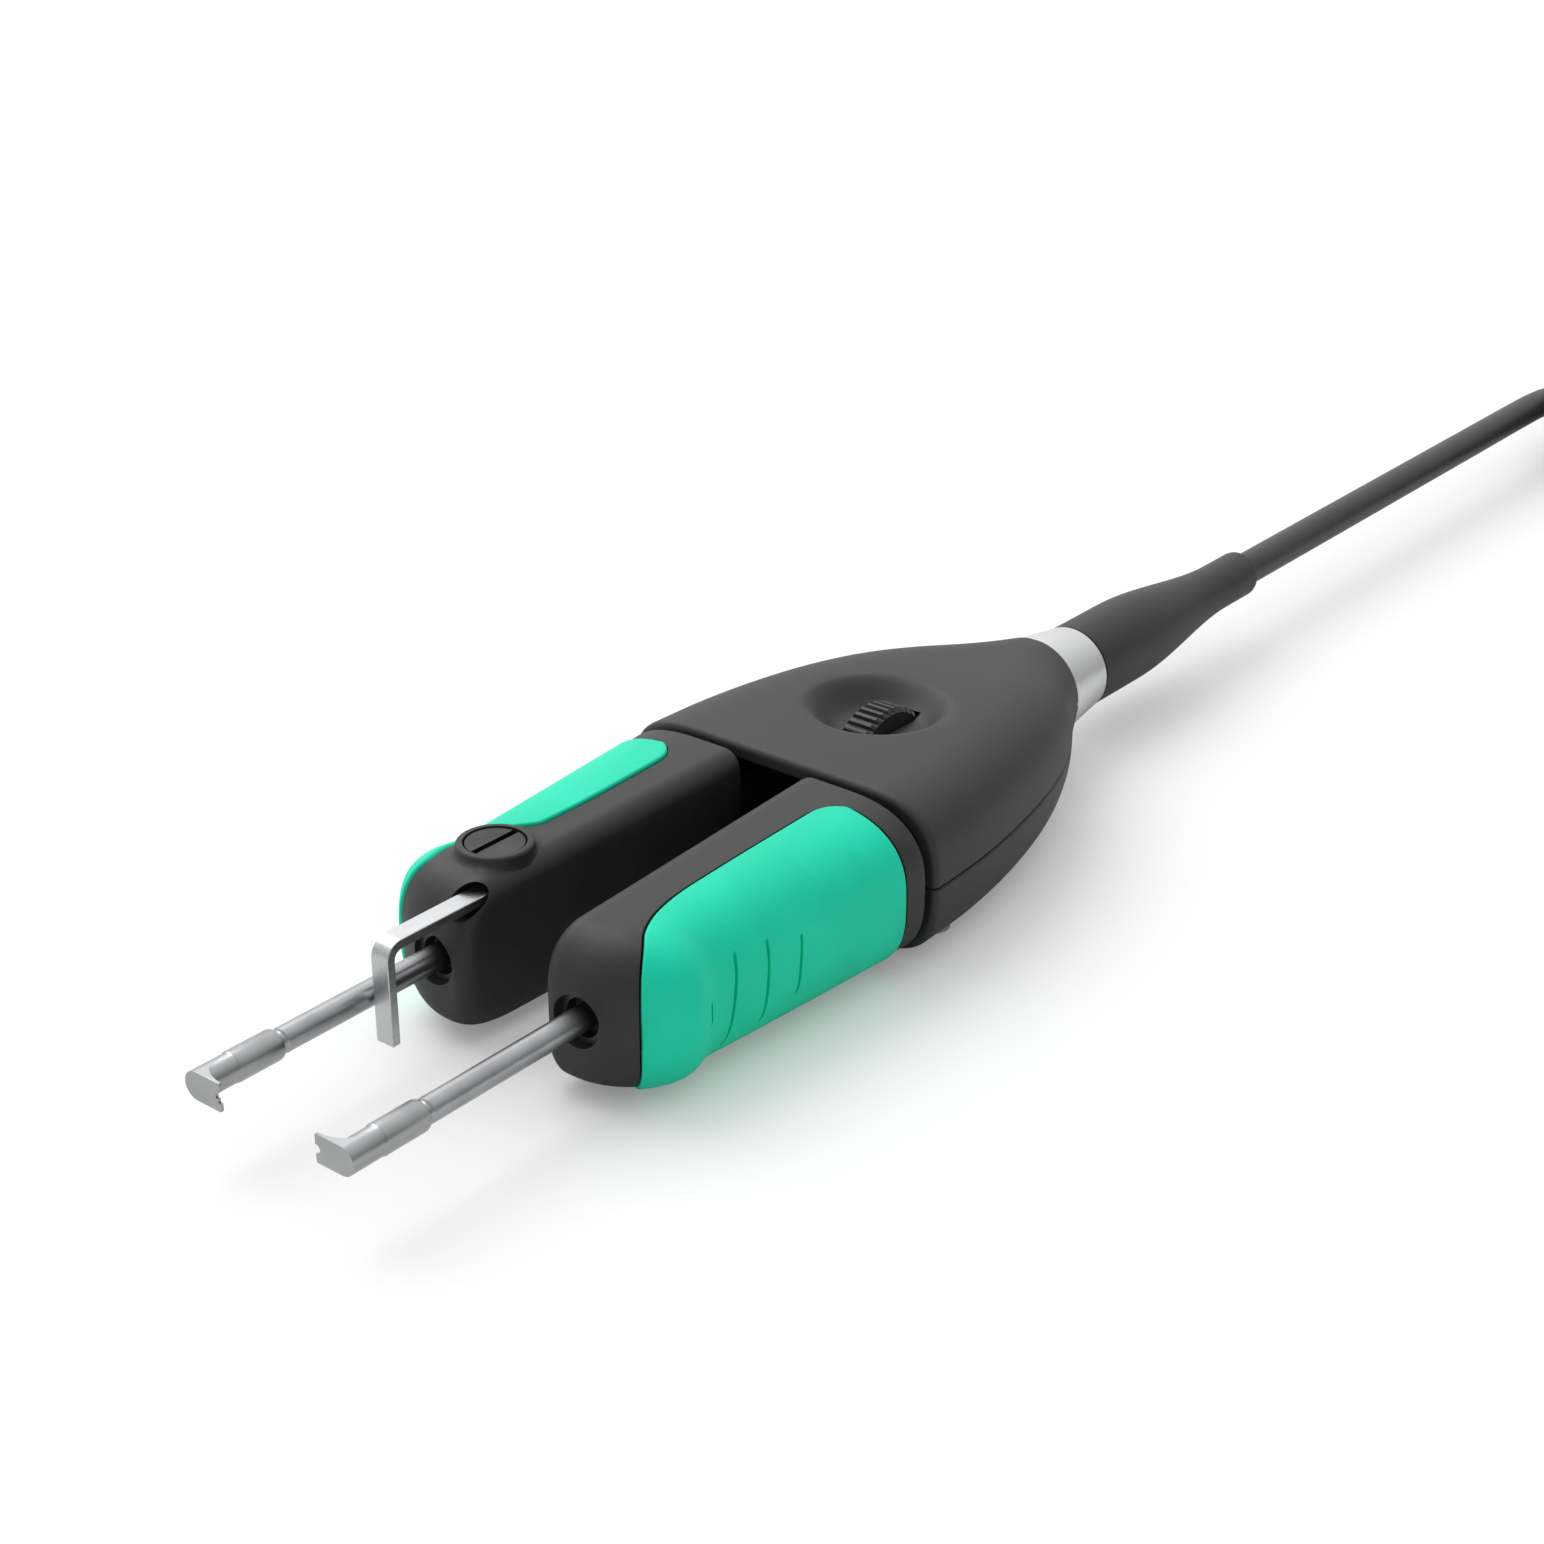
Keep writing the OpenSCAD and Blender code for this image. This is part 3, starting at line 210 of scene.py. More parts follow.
# Extruded PVC: a matt skin with the faint waver that an extruder leaves, about 17 mm long, and a fine grain
# drawn at 0.4 mm so that it shows
jacket_pvc = plastic(
    "extruded_pvc_jacket", ("#2c2d2f", "#343537"), (60, 2), 0.46, 1.53, grain=(2500, 3, 0.25, 0.00004)
)
cable.data.materials.append(jacket_pvc)
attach(cable, "housing")
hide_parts("cable", "cable_coil")

# Housing
# Two moulded halves of glass-filled nylon that meet on the mid plane with a fine open seam, held by three
# screws from below. The upper half has a round dish with a slot in it for the thumbwheel.
shell_len = 56.7
mouth_y = -16.285
neck_y = mouth_y + shell_len
neck_end_d = 15.2
shell_w = 48.4
shell_h = 21.2
flat_w = 23
wall = 2.2
seam = 0.1
seam_lip = 0.22
rim = 0.9
axis_x = 11
hinge_y = mouth_y + shell_len * 0.574
wheel_y = mouth_y + shell_len * 0.3633
wheel_z = 12.55
wheel_d = 16.3
wheel_w = 4.3
side_gap = 0.3
dish_d = 20
dish_depth = 3.3
plan_line = [(0, 1), (0.19, 0.965), (0.39, 0.862), (0.59, 0.692), (0.75, 0.473), (0.9, 0.176), (1, 0)]
side_fall = [(0, 1), (0.36, 1), (0.5, 0.94), (0.66, 0.75), (0.87, 0.28), (1, 0)]


def along(line, s):
    """Smooth curve through stations of place and value."""
    i = 0
    while i < len(line) - 2 and s > line[i + 1][0]:
        i += 1

    def slope(k):
        a, b = line[max(0, k - 1)], line[min(len(line) - 1, k + 1)]
        return (b[1] - a[1]) / (b[0] - a[0])

    h = line[i + 1][0] - line[i][0]
    t = min(1, max(0, (s - line[i][0]) / h))
    return (
        (2 * t**3 - 3 * t**2 + 1) * line[i][1]
        + (t**3 - 2 * t**2 + t) * h * slope(i)
        + (3 * t**2 - 2 * t**3) * line[i + 1][1]
        + (t**3 - t**2) * h * slope(i + 1)
    )


def shell_arc(s, inset=0):
    """Half outline of the housing, right side to left side over the top, with heights above the mid plane."""
    k = s / shell_len
    flat = 0.3 + flat_w / 2 * max(0, along(plan_line, k)) ** 1.5
    wide = neck_end_d / 2 + (shell_w - neck_end_d) / 2 * along(plan_line, k) - inset - flat
    high = neck_end_d / 2 + (shell_h - neck_end_d) / 2 * along(side_fall, k) - inset
    power = 2 / (2 + (1 - min(1, max(0, k)) ** 3))
    quarter = []
    for i in range(33):
        a = radians(90 * i / 32)
        quarter.append((flat + wide * cos(a) ** power, high * sin(a) ** power if i else 0))
    edge = quarter[0][0]
    half = [(edge - seam_lip, seam), (edge - 0.02, seam + seam_lip)]
    half += [(x, max(z, seam + seam_lip + 0.03)) for x, z in quarter[1:]]
    top = [(flat * (1 - 2 * i / 48), high) for i in range(1, 48)]
    return [(x, mouth_y + s, z) for x, z in half + top + [(-x, z) for x, z in reversed(half)]]


def dished(x, y, z):
    """Height of a point of the upper skin with the dish let into it. Its rim and its floor are both eased."""
    return z - dish_depth * (1 - smooth_step(dish_d / 4, dish_d / 2, hypot(x, y - wheel_y)))


def solid(name, points, faces, finish=None, body=None, slot=None, *nodes):
    """A closed piece from points in millimetres, with its faces turned outwards.

    With a finish it is a piece of the tool, which moves with its body and stands for its nodes.
    """
    mesh = bpy.data.meshes.new(name)
    mesh.from_pydata([[MM * c for c in p] for p in points], [], faces)
    mesh.update()
    bm = bmesh.new()
    bm.from_mesh(mesh)
    bmesh.ops.recalc_face_normals(bm, faces=bm.faces)
    bm.to_mesh(mesh)
    bm.free()
    made = add(name, mesh)
    if finish:
        mesh.materials.append(finish)
        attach(made, body)
        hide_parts(*nodes)
    return made


def loft(rings, closed=True, capped=True):
    """Points and faces through rings of points that have the same count."""
    n = len(rings[0])
    faces = []
    for i in range(len(rings) - 1):
        for j in range(n if closed else n - 1):
            a, b = i * n + j, i * n + (j + 1) % n
            faces.append((a, b, b + n, a + n))
    if capped:
        faces.append(tuple(reversed(range(n))))
        faces.append(tuple(range((len(rings) - 1) * n, len(rings) * n)))
    return [p for ring in rings for p in ring], faces


def rod(a, b, r, sides=64, r_end=None):
    """Closed cylinder or cone from point a to point b, in millimetres."""
    a, b = Vector(a), Vector(b)
    turn = (b - a).to_track_quat("Z", "Y")
    rings = []
    for place, radius in ((a, r), (b, r if r_end is None else r_end)):
        ring = []
        for k in range(sides):
            v = Vector((radius * cos(2 * pi * k / sides), radius * sin(2 * pi * k / sides), 0))
            ring.append(tuple(place + turn @ v))
        rings.append(ring)
    return loft(rings)


def block(lo, hi):
    """Closed box between two corners, in millimetres."""
    xs, ys, zs = zip(lo, hi)
    ring = [(xs[0], ys[0]), (xs[1], ys[0]), (xs[1], ys[1]), (xs[0], ys[1])]
    return loft([[(x, y, z) for x, y in ring] for z in zs])


def carve(made, shapes, how="DIFFERENCE"):
    """Cuts each closed shape out of a piece, or joins it on, exactly."""
    tools = []
    for points, faces in shapes:
        tool = solid("tool", points, faces)
        tools.append(tool)
        mod = made.modifiers.new("cut", "BOOLEAN")
        mod.object = tool
        mod.operation = how
        mod.solver = "EXACT"
    shaped = bpy.data.meshes.new_from_object(made.evaluated_get(bpy.context.evaluated_depsgraph_get()))
    made.modifiers.clear()
    made.data = shaped
    for tool in tools:
        bpy.data.objects.remove(tool)
    return made


def lathe(profile, place, axis, sides=96, ring=False):
    """A profile of radius and height turned round an axis through place, closed at its ends or into a ring."""
    ups = {"x": (0, 1, 2), "y": (1, 2, 0), "z": (2, 0, 1)}[axis]
    points, rows, faces = [], [], []
    for r, h in profile:
        row = []
        for k in range(sides if r > 1e-6 else 1):
            p = [0, 0, 0]
            p[ups[0]], p[ups[1]], p[ups[2]] = h, r * cos(2 * pi * k / sides), r * sin(2 * pi * k / sides)
            row.append(len(points))
            points.append(tuple(a + b for a, b in zip(p, place)))
        rows.append(row)
    for a, b in zip(rows, rows[1:] + rows[:1] if ring else rows[1:]):
        for k in range(sides):
            m = (k + 1) % sides
            if len(a) > 1 and len(b) > 1:
                faces.append((a[k], a[m], b[m], b[k]))
            elif len(b) > 1:
                faces.append((a[0], b[m], b[k]))
            elif len(a) > 1:
                faces.append((a[k], a[m], b[0]))
    return points, faces


def smooth(made, angle=32):
    """Smooth shading that keeps edges sharper than this angle."""
    made.data.shade_smooth()
    made.data.set_sharp_from_angle(angle=radians(angle))
    return made


def stations():
    """Places along the housing, closer together over the dish."""
    s, out = rim, []
    while s < shell_len:
        out.append(s)
        s += 0.36 if abs(mouth_y + s - wheel_y) < 11 else 1.3
    return out + [shell_len]


def half_shell(up):
    """One half of the housing as a closed shell: skin, rounded rim at the mouth, inner wall and end wall."""
    rings = []
    for s in reversed(stations()):
        ring = shell_arc(s)
        if up > 0:
            ring = [(x, y, dished(x, y, z)) for x, y, z in ring]
        rings.append(ring)
    for k in range(1, 7):
        a = radians(15 * k)
        rings.append(shell_arc(rim * (1 - sin(a)), rim * (1 - cos(a))))
    last = shell_len - 3
    for s in [0.35 * k / 3 for k in range(4)]:
        rings.append(shell_arc(s, wall - 0.35 + s))
    for s in [last * k / 40 for k in range(1, 41)]:
        ring = shell_arc(s, wall)
        if up > 0:
            ring = [(x, y, min(z, dished(x, y, shell_h / 2) - 1.05)) for x, y, z in ring]
        rings.append(ring)
    n = len(rings[0])
    points, faces = loft(rings, closed=False, capped=False)
    m = len(rings)
    # The split faces along each side, then the inner and outer ends at the rear
    for j, sense in ((0, 1), (n - 1, -1)):
        strip = [i * n + j for i in range(m)]
        faces.append(tuple(strip[::sense]))
    centre = len(points)
    points += [(0, mouth_y + last, seam), (0, neck_y, seam)]
    for j in range(n - 1):
        faces.append(((m - 1) * n + j, (m - 1) * n + j + 1, centre))
        faces.append((j + 1, j, centre + 1))
    faces.append(((m - 1) * n, centre, centre + 1, 0))
    faces.append((n - 1, centre + 1, centre, m * n - 1))
    points = [(x, y, mid_z + up * z) for x, y, z in points]
    return points, faces


case_screw_d = 2.5
boss_wall = 1.5
hinge_boss_r = 3.2
spring_wire_d = 0.7
spring_pitch = 0.73
counterbore_top = 3.4
case_screws = [(shell_w / 2 - 5.2, mouth_y + 6.6), (0, hinge_y + 3.2), (5.2 - shell_w / 2, mouth_y + 6.6)]
tail_h = shell_h * 0.42
spring_top = tail_h / 2 + 0.2 + spring_wire_d + 1.5 * spring_pitch


def housing_finish(name, dark, light):
    """Glass-filled nylon moulded in a spark-eroded tool: matt, faintly mottled, with a grain of about 0.2 mm."""
    nylon, skin, where = material(name)
    cloud = noise(nylon, where, 170, 4, Roughness=0.6)
    feed(nylon, skin, {
        "Base Color": ramp(nylon, cloud, [(0.35, dark), (0.65, light)]),
        "Roughness": remapped(nylon, cloud, 0.5, 0.6),
        "Normal": relief(nylon, noise(nylon, where, 5200, 2), 0.35, 0.00005),
        "IOR": 1.53,
    })
    return nylon


housing_nylon = housing_finish("moulded_nylon_housing", "#242425", "#2a2b2b")

upper = solid("upper_shell", *half_shell(1), housing_nylon, "housing", "housing_plastic", "upper_housing")
# Bosses for the case screws, the middle one up to the roof, and for the hinge pins, and a cup under the dish
roof = shell_h - 1
bosses = []
for x, y in case_screws:
    boss_end = roof if abs(x) < 1 else mid_z + 7.6
    bosses.append(rod((x, y, mid_z + seam), (x, y, boss_end), case_screw_d / 2 + boss_wall))
for x in (-axis_x, axis_x):
    bosses.append(rod((x, hinge_y, mid_z + spring_top + side_gap), (x, hinge_y, mid_z + 9), hinge_boss_r))
cup_r, cup_low, cup_wall, cup_floor = dish_d / 2 + 0.8, 6.25, 1.2, 0.6
cup_rim = cup_low + 2.9
under_dish = [
    (0, cup_low), (cup_r, cup_low), (cup_r, cup_rim), (cup_r - cup_wall, cup_rim),
    (dish_d / 4, cup_low + cup_floor), (0, cup_low + cup_floor),
]
bosses.append(lathe(under_dish, (0, wheel_y, mid_z), "z"))
carve(upper, bosses, "UNION")
slot_half = wheel_w / 2 + side_gap
slot = rod((-slot_half, wheel_y, wheel_z), (slot_half, wheel_y, wheel_z), wheel_d / 2 + side_gap, 160)
carve(upper, [slot] + [rod((x, y, mid_z - 1), (x, y, mid_z + 5.2), case_screw_d / 2) for x, y in case_screws])
smooth(upper)

lower = solid("lower_shell", *half_shell(-1), housing_nylon, "housing", "housing_plastic", "lower_housing")
# Bosses as above, then a pedestal under each spindle bearing, and the one that the cable clamp is screwed to
bosses = []
for x, y in case_screws:
    boss_end = 1 if abs(x) < 1 else 3.3
    bosses.append(rod((x, y, mid_z - seam), (x, y, boss_end), case_screw_d / 2 + boss_wall))
for x in (-axis_x, axis_x):
    bosses.append(rod((x, hinge_y, mid_z - tail_h / 2 - side_gap), (x, hinge_y, 1.5), hinge_boss_r))
bearing_x, pedestal_half, pedestal_top = 4.3, 1.8, wheel_z - 4.05
for x in (-bearing_x, bearing_x):
    bosses.append(block((x - pedestal_half, wheel_y - 5, 1), (x + pedestal_half, wheel_y + 5, pedestal_top)))
bosses.append(block((-6.2, 26.72, 1.5), (6.2, 31.72, mid_z - 2.6)))
carve(lower, bosses, "UNION")
bores = [rod((x, y, -1), (x, y, mid_z + 1), case_screw_d / 2 + 0.15) for x, y in case_screws]
bores += [rod((x, y, -1), (x, y, counterbore_top), case_screw_d) for x, y in case_screws]
carve(lower, bores)
smooth(lower)

# Arms
# The two arms are moulded in the same nylon as the housing and swing on pins inside it. Each has a soft grip
# let into its outer side and a bore for its cartridge. The right arm carries the gauge's screw boss.
arm_len = 47.5
front_y = -65.185
rear_y = front_y + arm_len
arm_gap = 8.8
arm_splay = 1.63
arm_rear_top = 10.5
arm_front_top = 9.3
arm_base = 9.6
nose_top, nose_base, nose_in, nose_out = (8, 6), (3.2, 8), (2, 2.8), (11.1, 10.2)
corner_out, corner_base_out, corner_in, corner_base_in = (12.5, 9.6), (10.5, 9.4), (2.6, 2.6), (3, 3)
swell = 2.6
share_out, share_in = (0.66, 0.49), (0.3, 0.49)
rear_edge = 0.6
side_shares = [(0, 23.8), (0.37, 22.4), (0.64, 21.3), (0.745, 20.9), (0.83, 22.1), (1, 22.1)]
side_line = [(arm_len * k, x) for k, x in side_shares]
grip_t = 2
grip_rear = 3.5
grip_tip = 45.3
grip_edge = 11.9
grip_corner = 4.5
# Each grip's upper edge in plan: shares of the arm's length, and how far out of grip_edge. Both end alike
left_shares = [(0, 0), (0.62, 0.15), (0.75, 0.85), (0.84, 2.5), (0.89, 4.3), (0.93, 5.6)]
right_shares = [(0, -1.1), (0.6, -1.1), (0.66, 1.1), (0.73, 3.7), (0.82, 4.6), (0.89, 4.3), (0.92, 5.1)]
left_edge, right_edge = (
    [(arm_len * k, grip_edge + x) for k, x in shares] + [(grip_tip, grip_edge + 6.4), (arm_len, grip_edge + 7.5)]
    for shares in (left_shares, right_shares)
)
socket_d = 6.4
shaft_in = 26
eye_d = 8
tail_in, tail_out = axis_x - 3.2, axis_x + 4.6
spring_r = 2.4
spring_x, spring_y = axis_x - spring_r, hinge_y - 6.4
boss_y = front_y + 10.9
boss_d = 9.2
boss_top = 10.75
strip_x, strip_w, strip_t, strip_top = 7.7, 2.6, 1.15, 7.9
strip_in = 29
screw_head_d = 7


def draw_in(e, draw):
    """How far a rounded end has drawn in at distance e from it, for a draw over a length."""
    over, length = draw
    return 0 if e >= length else over * (1 - sqrt(max(0, 1 - ((length - e) / length) ** 2)))


def arm_box(s, d):
    """Inner side, outer side, underside and top of an arm, s ahead of its rear face and d inside its skin."""

    def less(draw):
        return max(0.4, draw[0] - d), max(0.4, draw[1] - d)

    e = arm_len - d - s
    return (
        arm_gap / 2 + s * tan(radians(arm_splay)) + d + draw_in(e, less(nose_in)),
        along(side_line, s) - d - draw_in(e, less(nose_out)),
        -arm_base + d + draw_in(e, less(nose_base)),
        arm_rear_top + (arm_front_top - arm_rear_top) * s / arm_len - d - draw_in(e, less(nose_top)),
    )


def fitted(corner, d, box, share):
    """Radii of a corner, across and down, that leave room for the other corners."""
    x0, x1, z0, z1 = box
    across, down = share[0] * (x1 - x0), share[1] * (z1 - z0)
    return min(max(0.3, corner[0] - d), across), min(max(0.3, corner[1] - d), down)


def bent(value, power):
    """A cosine or sine made to swell, for a corner of this power. 2 leaves it round."""
    return (abs(value) ** (2 / power)) * (1 if value > 0 else -1)


def arm_ring(s, d, steps=12):
    """Outline of an arm at one station, anticlockwise, from the outer side over the top."""
    box = arm_box(s, d)
    x0, x1, z0, z1 = box
    corners = []
    for corner, share, power, sx, sz, start in (
        (corner_out, share_out, swell, 1, 1, 0), (corner_in, share_in, 2, -1, 1, 90),
        (corner_base_in, share_in, 2, -1, -1, 180), (corner_base_out, share_out, swell, 1, -1, 270),
    ):
        r = fitted(corner, d, box, share)
        cx = (x1 if sx > 0 else x0) - sx * r[0]
        cz = (z1 if sz > 0 else z0) - sz * r[1]
        count = steps + 8 if power > 2 else steps
        turns = [radians(start + 90 * i / count) for i in range(count + 1)]
        corners.append([(cx + r[0] * bent(cos(a), power), cz + r[1] * bent(sin(a), power)) for a in turns])
    ring = []
    for k, arc in enumerate(corners):
        ring += arc
        end, start = arc[-1], corners[(k + 1) % 4][0]
        ring += [(end[0] + (start[0] - end[0]) * t / 6, end[1] + (start[1] - end[1]) * t / 6) for t in range(1, 6)]
    return [(x, rear_y - s, mid_z + z) for x, z in ring]


def arm_stations():
    """Places along an arm, from its front to its rear, closest together round the nose."""
    nose = [arm_len - 10 * (k / 34) ** 2 for k in range(34)]
    body = [arm_len - 10 - (arm_len - 10 - rear_edge) * k / 44 for k in range(45)]
    return nose + body


def grip_inner(s, line):
    """A grip's edge in plan. Ahead it runs out over the nose until it meets the arm's side, at the grip's tip."""
    return along(line, s) + draw_in(max(0, s - grip_rear), (grip_corner, grip_corner))


def grip_end(line, inset):
    """Station at which the edge in plan, moved outwards by inset, meets the side of the arm."""
    s = grip_tip - 4
    while grip_inner(s, line) + inset < arm_box(s, 0)[1] - 0.004:
        s += 0.005
    return s


def under(s, d):
    """Station of a point that is d inside the skin at station s, further back the more the nose rounds off."""
    return s - 0.7 * d * min(1, max(0, (s - arm_len + 12.5) / 10))


def side_run(s, d, inset, line):
    """The outer side of an arm at one station, from the grip's top edge over the side to its lower edge."""
    skin, box = arm_box(s, 0), arm_box(under(s, d), d)
    upper = grip_inner(s, line) + inset
    lower = upper - 1.9 * smooth_step(36, 41, s) * (1 - smooth_step(42, grip_tip, s))
    halves = []
    for corner, top, edge in ((corner_out, box[3], upper), (corner_base_out, -box[2], lower)):
        wide = fitted(corner, 0, skin, share_out)[0]
        start = skin[1] - wide
        r = fitted(corner, d, box, share_out)
        cx, cz = box[1] - r[0], top - r[1]
        half, last = [], 90
        if edge < start:
            half += [(cx - (start - edge) * (1 - i / 10), top) for i in range(10)]
        else:
            last = acos(min(1, (edge - start) / wide) ** (swell / 2)) * 180 / pi
        turns = [radians(last * (1 - i / 40)) for i in range(41)]
        half += [(cx + r[0] * bent(cos(a), swell), cz + r[1] * bent(sin(a), swell)) for a in turns]
        halves.append(half)
    top, base = halves
    return top + [(x, -z) for x, z in reversed(base)]


def spread(line, places):
    """Points at given lengths along a line."""
    out, k, done = [], 0, 0.0
    lengths = [hypot(b[0] - a[0], b[1] - a[1]) for a, b in zip(line, line[1:])]
    for place in places:
        while k < len(lengths) - 1 and done + lengths[k] < place:
            done += lengths[k]
            k += 1
        t = min(1, max(0, (place - done) / max(1e-9, lengths[k])))
        a, b = line[k], line[k + 1]
        out.append((a[0] + (b[0] - a[0]) * t, a[1] + (b[1] - a[1]) * t))
    return out


def length_of(line):
    """Length along a line of points."""
    return sum(hypot(b[0] - a[0], b[1] - a[1]) for a, b in zip(line, line[1:]))


def sheet_block(outer, inner):
    """Closed shape between an outer and an inner sheet of points with the same rows and columns."""
    rows, n = len(outer), len(outer[0])
    points = [p for row in outer for p in row] + [p for row in inner for p in row]
    base = rows * n
    faces = []
    for i in range(rows - 1):
        for j in range(n - 1):
            a = i * n + j
            faces.append((a, a + 1, a + n + 1, a + n))
            faces.append((base + a + n, base + a + n + 1, base + a + 1, base + a))
    rim_line = [j for j in range(n)] + [i * n + n - 1 for i in range(1, rows)]
    rim_line += [(rows - 1) * n + j for j in range(n - 2, -1, -1)] + [i * n for i in range(rows - 2, 0, -1)]
    for a, b in zip(rim_line, rim_line[1:] + rim_line[:1]):
        faces.append((b, a, base + a, base + b))
    return points, faces


def grip_stations(inset, line, rows):
    """Places along a grip, which crowd towards its rear and its tip."""
    rear, front = grip_rear + inset, grip_end(line, inset)
    return [rear + (front - rear) * (k / rows - 0.97 * sin(2 * pi * k / rows) / (2 * pi)) for k in range(rows + 1)]


def grip_row(s, d, inset, line, parts):
    """Points over a grip at one station, at depth d, at parts of the way from edge to edge."""
    run = side_run(s, d, inset, line)
    whole = length_of(run)
    return [(x, rear_y - under(s, d), mid_z + z) for x, z in spread(run, [whole * p for p in parts])]


arm_nylon = housing_finish("moulded_nylon_arms", "#222223", "#282829")
socket_rear = front_y + (1.2 + shaft_in + 6)
bush_r = 2.3
lead_z = mid_z - 1.6
strip_z = mid_z + strip_top
head_z = strip_z + 0.7
head_r = screw_head_d / 2


def mirror(made):
    """Turns a piece made for the left side into the right one."""
    bm = bmesh.new()
    bm.from_mesh(made.data)
    for v in bm.verts:
        v.co.x = -v.co.x
    bmesh.ops.reverse_faces(bm, faces=bm.faces)
    bm.to_mesh(made.data)
    bm.free()
    return made


def tail_shape():
    """The tail that reaches into the housing, with the round eye for its hinge pin."""
    eye = eye_d / 2
    turn = 180 + acos((axis_x - tail_in) / eye) * 180 / pi
    turns = [radians(turn * k / 40) for k in range(41)]
    plan = [(tail_in, rear_y - 2), (tail_out, rear_y - 2), (tail_out, mouth_y + 14)]
    plan += [(axis_x + eye * cos(a), hinge_y + eye * sin(a)) for a in turns]
    return loft([[(x, y, mid_z + z) for x, y in plan] for z in (-tail_h / 2, tail_h / 2)])


def top_of_arm(x, y):
    """Height of the arm's skin above the mid plane at a place seen from above."""
    s = rear_y - y
    box = arm_box(s, 0)
    r = fitted(corner_out, 0, box, share_out)
    small = fitted(corner_in, 0, box, share_in)
    out, inside = (x - box[1] + r[0]) / r[0], (box[0] + small[0] - x) / small[0]
    z = box[3]
    if out > 0:
        z -= r[1] * (1 - max(0, 1 - out**swell) ** (1 / swell))
    if inside > 0:
        z -= small[1] * (1 - sqrt(max(0, 1 - inside**2)))
    return z


def screw_boss():
    """The raised ring for the gauge's screw. A soft hollow fillet runs from it into the arm all round."""
    r, edge, rings = boss_d / 2, 0.4, []
    count = 128
    feet = []
    for k in range(count):
        a = 2 * pi * k / count
        reach = r + 1.9 - 1.2 * max(0, -cos(a)) ** 2
        x, y = axis_x + reach * cos(a), boss_y + reach * sin(a)
        x = max(x, arm_box(rear_y - y, 0)[0] + 0.25)
        feet.append((x, y, top_of_arm(x, y) - 0.04))
    rings.append([(x, y, mid_z + 4) for x, y, z in feet])
    for i in range(13):
        t = i / 12
        ring = []
        for k, (x, y, z) in enumerate(feet):
            a = 2 * pi * k / count
            near_x, near_y, near_z = axis_x + r * cos(a), boss_y + r * sin(a), boss_top - edge
            across, rise = 1 - sin(t * pi / 2), 1 - cos(t * pi / 2)
            ring.append((
                near_x + (x - near_x) * across, near_y + (y - near_y) * across, mid_z + z + (near_z - z) * rise
            ))
        rings.append(ring)
    for i in range(1, 6):
        a = radians(18 * i)
        round_r, round_z = r - edge + edge * cos(a), mid_z + boss_top - edge + edge * sin(a)
        around = [2 * pi * k / count for k in range(count)]
        rings.append([(axis_x + round_r * cos(b), boss_y + round_r * sin(b), round_z) for b in around])
    return loft(rings)


def arm(side, line):
    """One arm, as the left one."""
    rings = [arm_ring(s, 0) for s in arm_stations()]
    for k in range(1, 6):
        a = radians(18 * k)
        rings.append(arm_ring(rear_edge * (1 - sin(a)), rear_edge * (1 - cos(a))))
    made = solid(f"{side}_arm_body", *loft(rings), arm_nylon, f"{side}_jaw", "arm_plastic", f"{side}_arm")
    joined = [tail_shape()]
    if side == "right":
        joined.append(screw_boss())
    carve(made, joined, "UNION")
    parts = [j / 60 for j in range(61)]
    pocket = [[grip_row(s, d, 0, line, parts) for s in grip_stations(0, line, 60)] for d in (-1, grip_t)]
    cuts = [
        sheet_block(*pocket),
        rod((axis_x, front_y - 1, mid_z), (axis_x, socket_rear, mid_z), socket_d / 2, 96),
        rod((axis_x, hinge_y, mid_z - 8), (axis_x, hinge_y, mid_z + 8), bush_r),
        block((tail_in - 1, socket_rear - 0.5, lead_z - 1.4), (axis_x, hinge_y - 4.2, lead_z + 1.4)),
        rod((spring_x, spring_y, mid_z + 2.4), (spring_x, spring_y, mid_z + 8), 0.4, 24),
    ]
    if side == "right":
        half, low = strip_w / 2 + 0.2, strip_z - strip_t - 0.2
        middle = strip_z - strip_t / 2
        carve(made, cuts)
        cuts = [
            rod((axis_x, boss_y, head_z - 0.65), (axis_x, boss_y, 30), head_r + 0.25, 96),
            rod((axis_x, boss_y, mid_z + 3.8), (axis_x, boss_y, head_z), 2.4),
            block((strip_x - half, front_y - 2, low), (strip_x + half, front_y + strip_in + 7.5, strip_z + 0.2)),
            rod((strip_x, front_y - 2, middle), (strip_x, front_y + 6.6, middle), 1.95, 64, 1.75),
        ]
    carve(made, cuts)
    if side == "right":
        mirror(made)
    return smooth(made)


arm("left", left_edge)
arm("right", right_edge)

# Finger grips
# Soft rubber pads in mint green, moulded on their own and let into the arms with a fine dark line all round.
# Their edges are rounded and they stand a little proud. Thin curved grooves run down the outer side.
grip_line = 0.28
grip_proud = 0.3
grip_round = 0.5
groove_w = 0.46
groove_depth = 0.55
# Each groove's upper and lower end above the mid plane, its middle's distance ahead of the arm's rear face, and
# how much further forward it runs per millimetre down
grooves = [(5.3, -6.2, 32.7, 0.13), (5.0, -5.4, 27.5, 0.08), (3.7, -3.7, 22.2, 0.09), (1.5, -1.3, 37, 0)]


